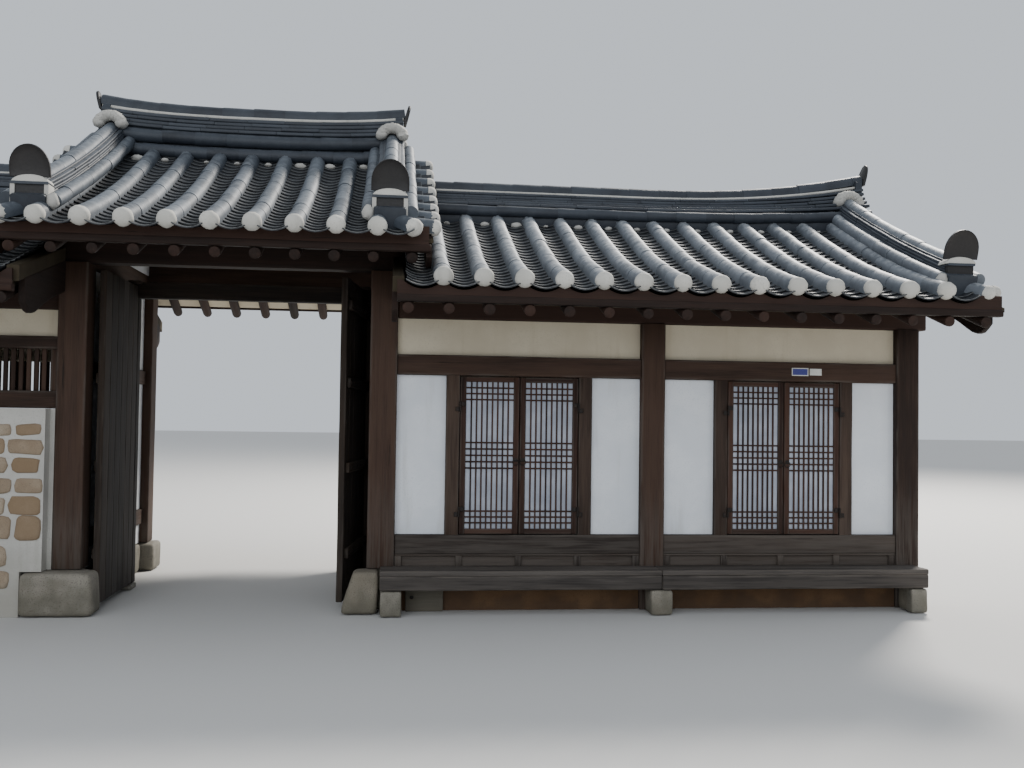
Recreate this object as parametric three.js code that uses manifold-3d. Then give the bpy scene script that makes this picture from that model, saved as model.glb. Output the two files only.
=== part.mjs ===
// A traditional Korean gate building with two servants' wings, timber framed under tiled gable roofs.
// Millimetres, +Z up. The origin is on the ground under the middle of the gate.
// The courtyard is on the -Y side, and the outside is on the +Y side.
import * as THREE from "three";
import { mergeVertices } from "three/addons/utils/BufferGeometryUtils.js";
import Module from "manifold-3d";

const wasm = await Module();
wasm.setup();

// Plan
const GATE_BAY = 2600;
const WING_BAY = 2400;
const DEPTH = 2400;
const GATE_POST = 240;
const WING_POST = 220;
const ROW = DEPTH / 2;
const GATE_X = GATE_BAY / 2;
const GATE_FACE = GATE_X + GATE_POST / 2;
const MID_X = GATE_X + WING_BAY;
const END_X = MID_X + WING_BAY;
const END_FACE = END_X + WING_POST / 2;
const WING_FACE = ROW + WING_POST / 2;
const BEAM_HALF = 90;
const BEAM_INNER = ROW - BEAM_HALF;
const BEAM_OUTER = ROW + BEAM_HALF;

// Wall layers, as distances from the ridge line
const INNER = 1050;
const SKIN = ROW - WING_POST / 2;
const RAIL_BACK = 1180;
const PANEL_FACE = 1240;
const RAIL_FACE = 1300;
const END_INNER = END_X - 150;
const END_SKIN = END_X - WING_POST / 2;
const END_RAIL_BACK = END_X - 20;
const END_PANEL_FACE = END_X + 40;
const END_RAIL_FACE = END_X + 100;
const SIDE_SKIN = GATE_FACE + 30;
const SIDE_TIMBER = [GATE_X - 60, GATE_X + 60];
const SIDE_PLASTER = [GATE_X - 30, SIDE_TIMBER[1]];
const GATE_BAY_END = ROW - GATE_POST / 2;

// Heights above the ground
const PLATE_UNDERSIDE = 2545;
const LOW_RAIL = [490, 660];
const SIDE_LOW_RAIL = [500, 660];
const HIGH_RAIL = [2050, 2230];
const SIDE_HIGH_RAIL = [1980, 2130];
const APRON_BOTTOM = 330;
const FLOOR_TOP = 620;
const STONE_TOP = 1710;
const VENT_SILL = [STONE_TOP, 1860];
const VENT_HEAD = [2210, 2320];
const END_TIE_TOP = 2720;
const GATE_BEAM_UNDERSIDE = 2950;
const GATE_TIE_TOP = 3150;
const GATE_LINTEL = 2790;
const GATE_STONE_TOP = 370;
const MIDDLE_STONE_TOP = 200;
const REAR_STONE_TOP = 300;
const PIVOT_STONE_TOP = 50;
const PIVOT_BLOCK_UNDERSIDE = 2915;

// Clearance between pieces that touch on curved or cut faces
const SEAT_GAP = 0.3;

// Roofs: the crest of the tile rows above the ground, and the underside of the rafters as [y, z]
const EAVE_Y = 2520;
const ROOF_EDGE_Y = 2540;
const TILE_LAYER = 110;
const gateRoof = {
  eave: 3155,
  slope: 0.36,
  curve: 3.72e-5,
  tipY: 2400,
  rafters: [
    [2290, 2870],
    [ROW, 3330],
    [0, 3850],
  ],
  rows: [-4, -3, -2, -1, 0, 1, 2, 3, 4].map((step) => 311 * step),
  tileHalf: 1745,
  deckHalf: 1620,
  boardDrop: 400,
  ridgeFoot: 4140,
  ridgeTop: 4655,
  ridgeEnd: 1465,
  hipX: 1335,
};
const wingRoof = {
  eave: 2775,
  slope: 0.32,
  curve: 3.57e-5,
  tipY: 2430,
  rafters: [
    [2420, 2470],
    [ROW, 2900],
    [0, 3360],
  ],
  rows: Array.from({ length: 14 }, (_, step) => 1752 + 313 * step),
  inner: SIDE_SKIN,
  eaveInner: 1360,
  tileEnd: 6420,
  deckEnd: 6290,
  boardDrop: 420,
  ridgeFoot: 3670,
  ridgeTop: 4045,
  ridgeStart: 1760,
  ridgeEnd: 6250,
  hipX: 6030,
};
const BOARD = 50;

// Finishes
const finish = (color, roughness) => new THREE.MeshStandardMaterial({ color, roughness, metalness: 0 });
const agedTimber = finish(0x3b2a20, 0.85);
const doorTimber = finish(0x40281d, 0.8);
const greyTimber = finish(0x6b6257, 0.85);
const plaster = finish(0xd9dfe4, 0.9);
const creamPlaster = finish(0xd8cdb0, 0.9);
const clay = finish(0xa4703f, 0.95);
const granite = finish(0x8b8173, 0.9);
const stoneWall = finish(0xb09a78, 0.95);
const roofTile = finish(0x4a515c, 0.7);

// Shapes
const ordered = (pair) => [Math.min(...pair), Math.max(...pair)];

function box(xs, ys, zs) {
  const spans = [xs, ys, zs].map(ordered);
  const size = spans.map(([low, high]) => high - low);
  const middle = spans.map(([low, high]) => (low + high) / 2);
  return new THREE.BoxGeometry(...size).translate(...middle);
}

function extrude(points, from, to, steps = 1) {
  const shape = new THREE.Shape(points.map(([a, b]) => new THREE.Vector2(a, b)));
  const depth = to - from;
  return new THREE.ExtrudeGeometry(shape, { depth, steps, bevelEnabled: false }).translate(0, 0, from);
}

// Points are [y, z] and the length runs along X.
function alongX(points, from, to, steps = 1) {
  const turn = new THREE.Matrix4().set(0, 0, 1, 0, 1, 0, 0, 0, 0, 1, 0, 0, 0, 0, 0, 1);
  return extrude(points, from, to, steps).applyMatrix4(turn);
}

// Points are [x, z] and the length runs along Y.
function alongY(points, from, to, steps = 1) {
  const turn = new THREE.Matrix4().set(1, 0, 0, 0, 0, 0, -1, 0, 0, 1, 0, 0, 0, 0, 0, 1);
  return extrude(points, -to, -from, steps).applyMatrix4(turn);
}

function upright(radius, x, y, z0, z1, sides = 10) {
  return new THREE.CylinderGeometry(radius, radius, z1 - z0, sides)
    .rotateX(Math.PI / 2)
    .translate(x, y, (z0 + z1) / 2);
}

// Raises each point of the geometry by rise(x, y, z).
function raised(geometry, rise) {
  const place = geometry.attributes.position;
  for (let i = 0; i < place.count; i++) {
    const [x, y, z] = [place.getX(i), place.getY(i), place.getZ(i)];
    place.setZ(i, z + rise(x, y, z));
  }
  return geometry;
}

function toSolid(geometry) {
  const bare = geometry.clone();
  bare.deleteAttribute("normal");
  bare.deleteAttribute("uv");
  const merged = mergeVertices(bare, 1e-3);
  const triVerts = new Uint32Array(merged.index.array);
  const vertProperties = new Float32Array(merged.attributes.position.array);
  return new wasm.Manifold(new wasm.Mesh({ numProp: 3, vertProperties, triVerts }));
}

const joined = (geometries) => geometries.map(toSolid).reduce((whole, next) => whole.add(next));
const cutBy = (solid, tools) => tools.map(toSolid).reduce((rest, tool) => rest.subtract(tool), solid);

function toGeometry(solid) {
  const made = solid.getMesh();
  const place = new Float32Array(made.numVert * 3);
  for (let i = 0; i < made.numVert; i++) {
    place.set(made.vertProperties.subarray(i * made.numProp, i * made.numProp + 3), i * 3);
  }
  const geometry = new THREE.BufferGeometry();
  geometry.setAttribute("position", new THREE.BufferAttribute(place, 3));
  geometry.setIndex(new THREE.BufferAttribute(new Uint32Array(made.triVerts), 1));
  geometry.computeVertexNormals();
  return geometry;
}

function piece(name, shape, material) {
  const geometry = shape.isBufferGeometry ? shape : toGeometry(shape);
  const mesh = new THREE.Mesh(geometry, material);
  mesh.name = name;
  return mesh;
}

const house = new THREE.Group();
const gate = new THREE.Group();
const rightWing = new THREE.Group();
const leftWing = new THREE.Group();
house.add(gate, rightWing, leftWing);

// Roof profile
const crest = (roof, y) => {
  const run = EAVE_Y - Math.abs(y);
  return roof.eave + roof.slope * run + roof.curve * run * run;
};

function underside(roof, y) {
  const [tip, wall, peak] = roof.rafters;
  const away = Math.abs(y);
  const [outer, inner] = away > wall[0] ? [tip, wall] : [wall, peak];
  return inner[1] + ((outer[1] - inner[1]) * (away - inner[0])) / (outer[0] - inner[0]);
}

const SLOPE_STEPS = 10;
const slopeStop = (_, i) => ROOF_EDGE_Y * ((2 * i) / SLOPE_STEPS - 1);
const SLOPE_STOPS = Array.from({ length: SLOPE_STEPS + 1 }, slopeStop);

// The underside of the tile layer, straight between the stops.
function bed(roof, y) {
  const next = SLOPE_STOPS.findIndex((stop) => stop >= y);
  const [y0, y1] = [SLOPE_STOPS[Math.max(0, next - 1)], SLOPE_STOPS[next]];
  const share = y1 > y0 ? (y - y0) / (y1 - y0) : 0;
  return crest(roof, y0) * (1 - share) + crest(roof, y1) * share - TILE_LAYER;
}

// The top of the tile layer from one x to another: channels, the rows of round tiles that stand between
// them, and a higher strip outside each slope ridge. Heights are over the crest.
function tileTop(roof, [low, high], rows) {
  const ROW = [
    [-70, -75],
    [-36, -8],
    [36, -8],
    [70, -75],
  ];
  const CHANNEL = -75;
  const GABLE = -40;
  const level = (x) => (Math.abs(x) > roof.hipX ? GABLE : CHANNEL);
  const points = [[low, level(low)]];
  if (low < -roof.hipX) points.push([-roof.hipX, GABLE], [-roof.hipX, CHANNEL]);
  for (const x of [...rows].sort((a, b) => a - b)) {
    points.push(...ROW.map(([across, height]) => [x + across, height]));
  }
  if (high > roof.hipX) points.push([roof.hipX, CHANNEL], [roof.hipX, GABLE]);
  return [...points, [high, level(high)]];
}

// The tile layer, and under it the deck with its rafters, which reaches a little into the tiles.
function roofBody(roof, tileX, deckX, rows, rise) {
  const INTO_TILES = 10;
  const [low, high] = ordered(tileX);
  const outline = [[low, -TILE_LAYER], [high, -TILE_LAYER], ...tileTop(roof, [low, high], rows).reverse()];
  const flat = alongY(outline, -ROOF_EDGE_Y, ROOF_EDGE_Y, SLOPE_STEPS);
  const tiles = raised(flat, (x, y, z) => crest(roof, y) + (z > 1 - TILE_LAYER ? rise(x, y) : 0));
  const front = roof.rafters.map(([y, z]) => [-y, z]);
  const back = roof.rafters.slice(0, -1).reverse();
  const stops = [-roof.tipY, ...SLOPE_STOPS.slice(1, -1), roof.tipY];
  const upper = stops.map((y) => [y, crest(roof, y) - TILE_LAYER + INTO_TILES]);
  const deck = alongX([...front, ...back, ...upper.reverse()], ...deckX);
  return joined([tiles, deck]);
}

// A board under the tile layer at a gable, with a rounded tail at each eave.
function bargeboard(roof, from, to) {
  const TAIL = 2280;
  const HEEL = 2150;
  const NOSE_RISE = 130;
  const inside = SLOPE_STOPS.filter((y) => Math.abs(y) < TAIL);
  const top = [-TAIL, ...inside, TAIL].map((y) => [y, bed(roof, y) - SEAT_GAP]);
  const underAt = (y) => crest(roof, y) - roof.boardDrop;
  const low = [-HEEL, ...inside, HEEL].map((y) => [y, underAt(y)]);
  const nose = underAt(TAIL) + NOSE_RISE;
  return alongX([[-TAIL, nose], ...low, [TAIL, nose], ...top.reverse()], from, to);
}

// Section of a tiled ridge: a wide course, flat courses and a round cap, as [half width, height] pairs.
function ridgeSection(foot, top) {
  const tall = top - foot;
  const half = [
    [165, 0],
    [165, 0.22 * tall],
    [120, 0.26 * tall],
    [112, 0.74 * tall],
    [78, 0.78 * tall],
    [62, 0.93 * tall],
    [25, tall],
  ];
  const left = half.map(([w, h]) => [-w, foot + h]);
  const right = half.map(([w, h]) => [w, foot + h]);
  return [...right, ...left.reverse()];
}

// An upright round-topped tile that leans outwards, sunk a little into the block under it.
const BLOCK_HALF = 130;
const BLOCK_DEPTH = 120;
function endTile(x, side, endY, seat) {
  const HALF = 145;
  const DEPTH = 40;
  const SHOULDER = 100;
  const SUNK = 20;
  const LEAN = 0.3;
  const arch = new THREE.Shape();
  arch.moveTo(-HALF, -SUNK);
  arch.lineTo(HALF, -SUNK);
  arch.lineTo(HALF, SHOULDER);
  arch.absarc(0, SHOULDER, HALF, 0, Math.PI);
  return new THREE.ExtrudeGeometry(arch, { depth: DEPTH, bevelEnabled: false, curveSegments: 8 })
    .translate(0, 0, -DEPTH / 2)
    .rotateX(Math.PI / 2 - side * LEAN)
    .translate(x, side * (endY - DEPTH / 2), seat);
}

// A ridge that runs down the slope at a gable.
function slopeRidge(roof, x, side) {
  const HALF = 115;
  const BELOW = -90;
  const ABOVE = 215;
  const END_Y = 2320;
  const START_Y = 100;
  const STEPS = 8;
  const section = [
    [x - HALF, BELOW],
    [x + HALF, BELOW],
    [x + HALF, ABOVE - 70],
    [x + HALF / 2, ABOVE - 10],
    [x, ABOVE],
    [x - HALF / 2, ABOVE - 10],
    [x - HALF, ABOVE - 70],
  ];
  const span = ordered([side * END_Y, side * START_Y]);
  const body = raised(alongY(section, ...span, STEPS), (_, y) => crest(roof, y));
  const foot = crest(roof, END_Y);
  const blockTop = foot + ABOVE + 10;
  const blockX = [x - BLOCK_HALF, x + BLOCK_HALF];
  const block = box(blockX, [side * END_Y, side * (END_Y - BLOCK_DEPTH)], [foot + BELOW, blockTop]);
  return [body, block, endTile(x, side, END_Y, blockTop)];
}

// Curves of the main ridges and of the tiles under them
const GATE_CURVE = 2.6;
const gateRidgeRise = (x) => 150 * Math.pow(Math.abs(x) / gateRoof.ridgeEnd, GATE_CURVE);
const beyondMiddle = (x) => Math.max(0, (Math.abs(x) - MID_X) / (wingRoof.ridgeEnd - MID_X));
const wingRidgeRise = (x) => 215 * Math.pow(beyondMiddle(x), 2.2);
const towardsRidge = (y) => Math.max(0, 1 - Math.abs(y) / EAVE_Y);
const gateLift = (x, y) => 60 * Math.pow(Math.abs(x) / gateRoof.tileHalf, GATE_CURVE) * towardsRidge(y);
const wingLift = (x, y) => 80 * Math.pow(beyondMiddle(x), 2) * towardsRidge(y);

// The ridges stand on the tile layer, so what would reach into it is cut off.
function ridges(roof, from, to, rise, hips, body) {
  const STEPS = 12;
  const section = ridgeSection(roof.ridgeFoot, roof.ridgeTop);
  const aboveFoot = (x, _, z) => (z > roof.ridgeFoot + 1 ? rise(x) : 0);
  const main = raised(alongX(section, from, to, STEPS), aboveFoot);
  return joined([main, ...hips]).subtract(body.translate(0, 0, SEAT_GAP));
}

// Gate
const FRONT_STONE_Y = [-1500, -1215];
const JAMB = [1060, 1180];
const FRAME_HALF = 60;
const frontStoneX = (side) => (side > 0 ? [960, 1290] : [1020, 1630]);

function gateFront(side, word, at) {
  const postX = at([GATE_X - GATE_POST / 2, GATE_FACE]);
  const post = box(postX, [-ROW - GATE_POST / 2, -GATE_BAY_END], [GATE_STONE_TOP, GATE_BEAM_UNDERSIDE]);
  gate.add(piece(`gate_front_post_${word}`, post, agedTimber));
  const stone = joined([
    box(at(frontStoneX(side)), FRONT_STONE_Y, [0, GATE_STONE_TOP]),
    box(at([1175, GATE_FACE]), [FRONT_STONE_Y[1], -GATE_BAY_END], [0, GATE_STONE_TOP]),
  ]);
  gate.add(piece(`gate_front_stone_${word}`, stone, granite));
}

function gateSideFrame(word, at) {
  const half = GATE_POST / 2;
  const bay = [-GATE_BAY_END, GATE_BAY_END];
  const frame = joined([
    box(at([GATE_X - half, GATE_FACE]), [-half, half], [MIDDLE_STONE_TOP, GATE_BEAM_UNDERSIDE]),
    box(at(SIDE_TIMBER), [-BEAM_INNER, BEAM_INNER], [GATE_BEAM_UNDERSIDE, GATE_TIE_TOP]),
    box(at(SIDE_TIMBER), bay, SIDE_LOW_RAIL),
    box(at(SIDE_TIMBER), bay, SIDE_HIGH_RAIL),
  ]);
  gate.add(piece(`gate_side_frame_${word}`, frame, agedTimber));
}

function gateSideWall(word, at) {
  const core = at([SIDE_TIMBER[1], GATE_FACE]);
  const wall = [box(at([GATE_FACE, SIDE_SKIN]), [-INNER, INNER], [0, GATE_TIE_TOP])];
  const panels = [
    [REAR_STONE_TOP, SIDE_LOW_RAIL[0]],
    [SIDE_LOW_RAIL[1], SIDE_HIGH_RAIL[0]],
    [SIDE_HIGH_RAIL[1], GATE_BEAM_UNDERSIDE],
  ];
  for (const half of [-1, 1]) {
    const bay = [(half * GATE_POST) / 2, half * GATE_BAY_END];
    wall.push(box(core, bay, [REAR_STONE_TOP, GATE_BEAM_UNDERSIDE]));
    wall.push(box(core, [0, half * INNER], [GATE_BEAM_UNDERSIDE, GATE_TIE_TOP]));
    for (const z of panels) wall.push(box(at(SIDE_PLASTER), bay, z));
  }
  const foot = [-BEAM_INNER, BEAM_INNER].map((y) => [y, GATE_TIE_TOP]);
  const roofLine = [BEAM_INNER, 0, -BEAM_INNER].map((y) => [y, underside(gateRoof, y) - SEAT_GAP]);
  const gable = alongX([...foot, ...roofLine], ...ordered(at([SIDE_TIMBER[0], SIDE_SKIN])));
  gate.add(piece(`gate_side_wall_${word}`, joined([...wall, gable]), plaster));
}

// The stones under the side walls, under the rear posts and under the pivots of the leaves.
function gateFooting(word, at) {
  const half = GATE_POST / 2;
  const under = at([1230, GATE_FACE]);
  const footing = joined([
    box(under, [-GATE_BAY_END, -half], [0, REAR_STONE_TOP]),
    box(at([JAMB[1], GATE_FACE]), [-half, half], [0, MIDDLE_STONE_TOP]),
    box(under, [half, 1030], [0, REAR_STONE_TOP]),
    box(at([1040, JAMB[1]]), [-180, FRAME_HALF], [0, PIVOT_STONE_TOP]),
    box(at([1100, GATE_FACE]), [1030, 1420], [0, REAR_STONE_TOP]),
  ]);
  gate.add(piece(`gate_footing_${word}`, footing, granite));
}

function gateSide(side, word) {
  const at = (values) => values.map((value) => side * value);
  gateFront(side, word, at);
  gateSideFrame(word, at);
  gateSideWall(word, at);
  gateFooting(word, at);
  const boardX = ordered(at([gateRoof.deckHalf, gateRoof.deckHalf + BOARD]));
  gate.add(piece(`gate_bargeboard_${word}`, bargeboard(gateRoof, ...boardX), agedTimber));
}

// A beam over a row of posts, cut to the slope of the rafters that lie on it.
function beamSection(roof, row, bottom) {
  const top = [BEAM_INNER, ROW, BEAM_OUTER].map((y) => [row * y, underside(roof, y) - SEAT_GAP]);
  const outline = [[row * BEAM_OUTER, bottom], [row * BEAM_INNER, bottom], ...top];
  return row < 0 ? outline : outline.reverse();
}

function gateFrames() {
  const reach = [-SIDE_SKIN, SIDE_SKIN];
  const beam = (row) => alongX(beamSection(gateRoof, row, GATE_BEAM_UNDERSIDE), ...reach);
  gate.add(piece("gate_front_beam", toSolid(beam(-1)), agedTimber));
  const rearY = [GATE_BAY_END, ROW + GATE_POST / 2];
  const rearPosts = [-1, 1].map((side) =>
    box([side * (GATE_X - GATE_POST / 2), side * GATE_FACE], rearY, [REAR_STONE_TOP, GATE_BEAM_UNDERSIDE]),
  );
  gate.add(piece("gate_back_frame", joined([beam(1), ...rearPosts]), agedTimber));

  const thick = [-FRAME_HALF, FRAME_HALF];
  const frame = [box([-JAMB[1], JAMB[1]], thick, [GATE_LINTEL, GATE_BEAM_UNDERSIDE])];
  for (const side of [-1, 1]) {
    frame.push(box([side * JAMB[0], side * JAMB[1]], thick, [PIVOT_STONE_TOP, GATE_LINTEL]));
    const pivotBlock = [side * 1030, side * 1150];
    frame.push(box(pivotBlock, [-160, -FRAME_HALF], [PIVOT_BLOCK_UNDERSIDE, GATE_BEAM_UNDERSIDE]));
  }
  gate.add(piece("gate_door_frame", joined(frame), doorTimber));
}

// A gate leaf of boards and battens, drawn shut and then swung open about its pivot.
function gateLeaf(side, word, openDegrees) {
  const PIVOT = [side * 1090, -110];
  const PIN = 20;
  const FRONT = -140;
  const BACK = -80;
  const HEEL = 1120;
  const Z = [60, 2900];
  const BATTEN = 90;
  const BATTEN_DEPTH = 30;
  const leaf = [box([side * 3, side * HEEL], [FRONT, BACK], Z)];
  for (const z of [430, 1180, 1930, 2620]) {
    leaf.push(box([side * 70, side * (HEEL - 10)], [FRONT - BATTEN_DEPTH, FRONT], [z, z + BATTEN]));
  }
  leaf.push(upright(PIN, ...PIVOT, PIVOT_STONE_TOP + SEAT_GAP, Z[0] + 1));
  leaf.push(upright(PIN, ...PIVOT, Z[1] - 1, PIVOT_BLOCK_UNDERSIDE - SEAT_GAP));
  const mesh = piece(`gate_leaf_${word}`, joined(leaf), doorTimber);
  mesh.geometry.translate(-PIVOT[0], -PIVOT[1], 0);
  mesh.position.set(...PIVOT, 0);
  mesh.rotation.z = side * THREE.MathUtils.degToRad(openDegrees);
  gate.add(mesh);
}

function gateRoofParts() {
  const tiles = [-gateRoof.tileHalf, gateRoof.tileHalf];
  const deck = [-gateRoof.deckHalf, gateRoof.deckHalf];
  const body = roofBody(gateRoof, tiles, deck, gateRoof.rows, gateLift);
  gate.add(piece("gate_roof", body, roofTile));
  const ends = [-gateRoof.hipX, gateRoof.hipX];
  const hips = ends.flatMap((x) => [-1, 1].flatMap((row) => slopeRidge(gateRoof, x, row)));
  const span = [-gateRoof.ridgeEnd, gateRoof.ridgeEnd];
  gate.add(piece("gate_ridge", ridges(gateRoof, ...span, gateRidgeRise, hips, body), roofTile));
}

gateSide(-1, "left");
gateSide(1, "right");
gateFrames();
gateLeaf(-1, "left", 90);
gateLeaf(1, "right", 82.5);
gateRoofParts();

// Wings: what both have
function wingPlate(row, side) {
  const span = ordered([side * GATE_FACE, side * wingRoof.deckEnd]);
  return alongX(beamSection(wingRoof, row, PLATE_UNDERSIDE), ...span);
}

// The eaves of a wing pass in front of the gate's posts, and a board closes their ends.
function innerEaves(span) {
  const POST_GAP = 5;
  const from = wingRoof.eaveInner;
  const to = wingRoof.inner + 1;
  const away = ROW + GATE_POST / 2 + POST_GAP;
  const slab = roofBody(wingRoof, span(from, to), span(from, to), [], () => 0);
  const board = bargeboard(wingRoof, ...span(from, from + BOARD));
  const between = box(span(from - 1, to + 1), [-away, away], [0, wingRoof.ridgeTop]);
  return cutBy(slab.add(toSolid(board)), [between]);
}

function wingRoofParts(group, side, word) {
  const span = (from, to) => ordered([side * from, side * to]);
  const tiles = span(wingRoof.inner, wingRoof.tileEnd);
  const deck = span(wingRoof.inner, wingRoof.deckEnd);
  const rows = wingRoof.rows.map((x) => side * x);
  const body = roofBody(wingRoof, tiles, deck, rows, wingLift).add(innerEaves(span));
  group.add(piece(`${word}_roof`, body, roofTile));
  const hips = [-1, 1].flatMap((row) => slopeRidge(wingRoof, side * wingRoof.hipX, row));
  const ridgeX = span(wingRoof.ridgeStart, wingRoof.ridgeEnd);
  group.add(piece(`${word}_ridge`, ridges(wingRoof, ...ridgeX, wingRidgeRise, hips, body), roofTile));
  const boardX = span(wingRoof.deckEnd, wingRoof.deckEnd + BOARD);
  group.add(piece(`${word}_bargeboard`, bargeboard(wingRoof, ...boardX), agedTimber));
}

const wingBays = (side) => [
  [side * GATE_FACE, side * (MID_X - WING_POST / 2)],
  [side * (MID_X + WING_POST / 2), side * END_SKIN],
];

const wingPost = (side, x, row, z) =>
  box([side * (x - WING_POST / 2), side * (x + WING_POST / 2)], [row * SKIN, row * WING_FACE], z);

// Rear row and gable end of a wing: posts, rails, plate and tie in one frame.
const GABLE_POST_HALF = 100;
function backFrame(side, rails, extra = []) {
  const tall = [0, PLATE_UNDERSIDE];
  const outer = [side * END_RAIL_BACK, side * END_RAIL_FACE];
  const posts = [MID_X, END_X].map((x) => wingPost(side, x, 1, tall));
  const parts = [wingPlate(1, side), ...posts, ...extra];
  for (const z of rails) {
    for (const bay of wingBays(side)) parts.push(box(bay, [RAIL_BACK, RAIL_FACE], z));
    parts.push(box(outer, [-SKIN, SKIN], z));
  }
  parts.push(box([side * END_SKIN, side * END_FACE], [-GABLE_POST_HALF, GABLE_POST_HALF], tall));
  parts.push(box(outer, [-BEAM_INNER, BEAM_INNER], [PLATE_UNDERSIDE, END_TIE_TOP]));
  return joined(parts);
}

// The plaster of a gable: behind the tie, and over it up to the rafters.
function gablePlaster(side) {
  const behindX = [side * END_INNER, side * END_RAIL_BACK];
  const behind = box(behindX, [-INNER, INNER], [PLATE_UNDERSIDE, END_TIE_TOP]);
  const foot = [-BEAM_INNER, BEAM_INNER].map((y) => [y, END_TIE_TOP]);
  const roofLine = [BEAM_INNER, 0, -BEAM_INNER].map((y) => [y, underside(wingRoof, y) - SEAT_GAP]);
  const span = ordered([side * END_INNER, side * END_PANEL_FACE]);
  return [behind, alongX([...foot, ...roofLine], ...span)];
}

// The wall behind the rails of a long side: a thin inner skin, and panels that fill the frame.
function longWall(side, row, levels, panels, skinX) {
  const parts = [box(skinX, [row * INNER, row * SKIN], levels)];
  for (const bay of wingBays(side)) {
    parts.push(box(bay, [row * SKIN, row * RAIL_BACK], levels));
    for (const z of panels) parts.push(box(bay, [row * RAIL_BACK, row * PANEL_FACE], z));
  }
  return parts;
}

function endWall(side, levels, panels) {
  const parts = [box([side * END_INNER, side * END_SKIN], [-INNER, INNER], levels)];
  for (const half of [-1, 1]) {
    const bay = [half * GABLE_POST_HALF, half * SKIN];
    parts.push(box([side * END_SKIN, side * END_RAIL_BACK], bay, levels));
    for (const z of panels) parts.push(box([side * END_RAIL_BACK, side * END_PANEL_FACE], bay, z));
  }
  return parts;
}

// Right wing: two heated rooms behind lattice doors
const DOOR_HALF = 530;
const DOOR_FRAME_HALF = 650;
const doorCentres = [(GATE_X + MID_X) / 2, (MID_X + END_X) / 2 + 25];
const JAMB_FACE = -1290;
const CLAY_FACE = -1270;
const LEAF_FACE = JAMB_FACE + 6;
const LEAF_BACK = LEAF_FACE + 40;
const KNUCKLE_R = 8;
const KNUCKLE_Y = JAMB_FACE - KNUCKLE_R - 6;
const HINGE_HEIGHTS = [860, 1780];
const HINGE_HALF = 45;
const PIN_INSET = 3;

// Four sunk panels in the board under a door.
function apronRecesses([x0, x1]) {
  const PANELS = 4;
  const MARGIN = 60;
  const GAP = 55;
  const SUNK = 25;
  const width = (x1 - x0 - 2 * MARGIN - (PANELS - 1) * GAP) / PANELS;
  return Array.from({ length: PANELS }, (_, i) => {
    const from = x0 + MARGIN + i * (width + GAP);
    return box([from, from + width], [JAMB_FACE - 5, JAMB_FACE + SUNK], [385, 475]);
  });
}

function doorFrame(number, bay, centre) {
  const JAMB_STRAP = 40;
  const parts = [
    box(bay, [-RAIL_BACK, JAMB_FACE], [APRON_BOTTOM, LOW_RAIL[0]]),
    box(bay, [-RAIL_BACK, -RAIL_FACE], LOW_RAIL),
    box(bay, [-RAIL_BACK, -RAIL_FACE], HIGH_RAIL),
  ];
  for (const side of [-1, 1]) {
    const inner = centre + side * DOOR_HALF;
    const outer = centre + side * DOOR_FRAME_HALF;
    const pin = inner - side * PIN_INSET;
    parts.push(box([inner, outer], [-RAIL_BACK, JAMB_FACE], [LOW_RAIL[1], HIGH_RAIL[0]]));
    for (const height of HINGE_HEIGHTS) {
      const fixed = [height - HINGE_HALF, height];
      parts.push(upright(KNUCKLE_R, pin, KNUCKLE_Y, ...fixed));
      parts.push(box([pin, inner + side * JAMB_STRAP], [JAMB_FACE + 1, KNUCKLE_Y - 2], fixed));
    }
  }
  rightWing.add(piece(`door_frame_${number}`, cutBy(joined(parts), apronRecesses(bay)), agedTimber));
}

function roomLeaf(number, centre, side, word) {
  const STILE = 50;
  const RAIL = 45;
  const SUNK = 18;
  const STRAP = 50;
  const EDGE_GAP = 6;
  const MEETING_GAP = 9;
  const inner = centre + side * DOOR_HALF;
  const edge = inner - side * EDGE_GAP;
  const meet = centre + (side * MEETING_GAP) / 2;
  const pin = inner - side * PIN_INSET;
  const z = [LOW_RAIL[1] + EDGE_GAP, HIGH_RAIL[0] - EDGE_GAP];
  const leaf = [box([edge, meet], [LEAF_BACK, LEAF_FACE], z)];
  for (const height of HINGE_HEIGHTS) {
    const turn = [height + SEAT_GAP, height + HINGE_HALF];
    leaf.push(upright(KNUCKLE_R, pin, KNUCKLE_Y, ...turn));
    leaf.push(box([pin, inner - side * STRAP], [KNUCKLE_Y - 2, LEAF_FACE + 1], turn));
  }
  const field = [edge - side * STILE, meet + side * STILE];
  const recess = box(field, [LEAF_FACE - 5, LEAF_FACE + SUNK], [z[0] + RAIL, z[1] - RAIL]);
  rightWing.add(piece(`room_door_${number}_${word}`, cutBy(joined(leaf), [recess]), doorTimber));
}

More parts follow.
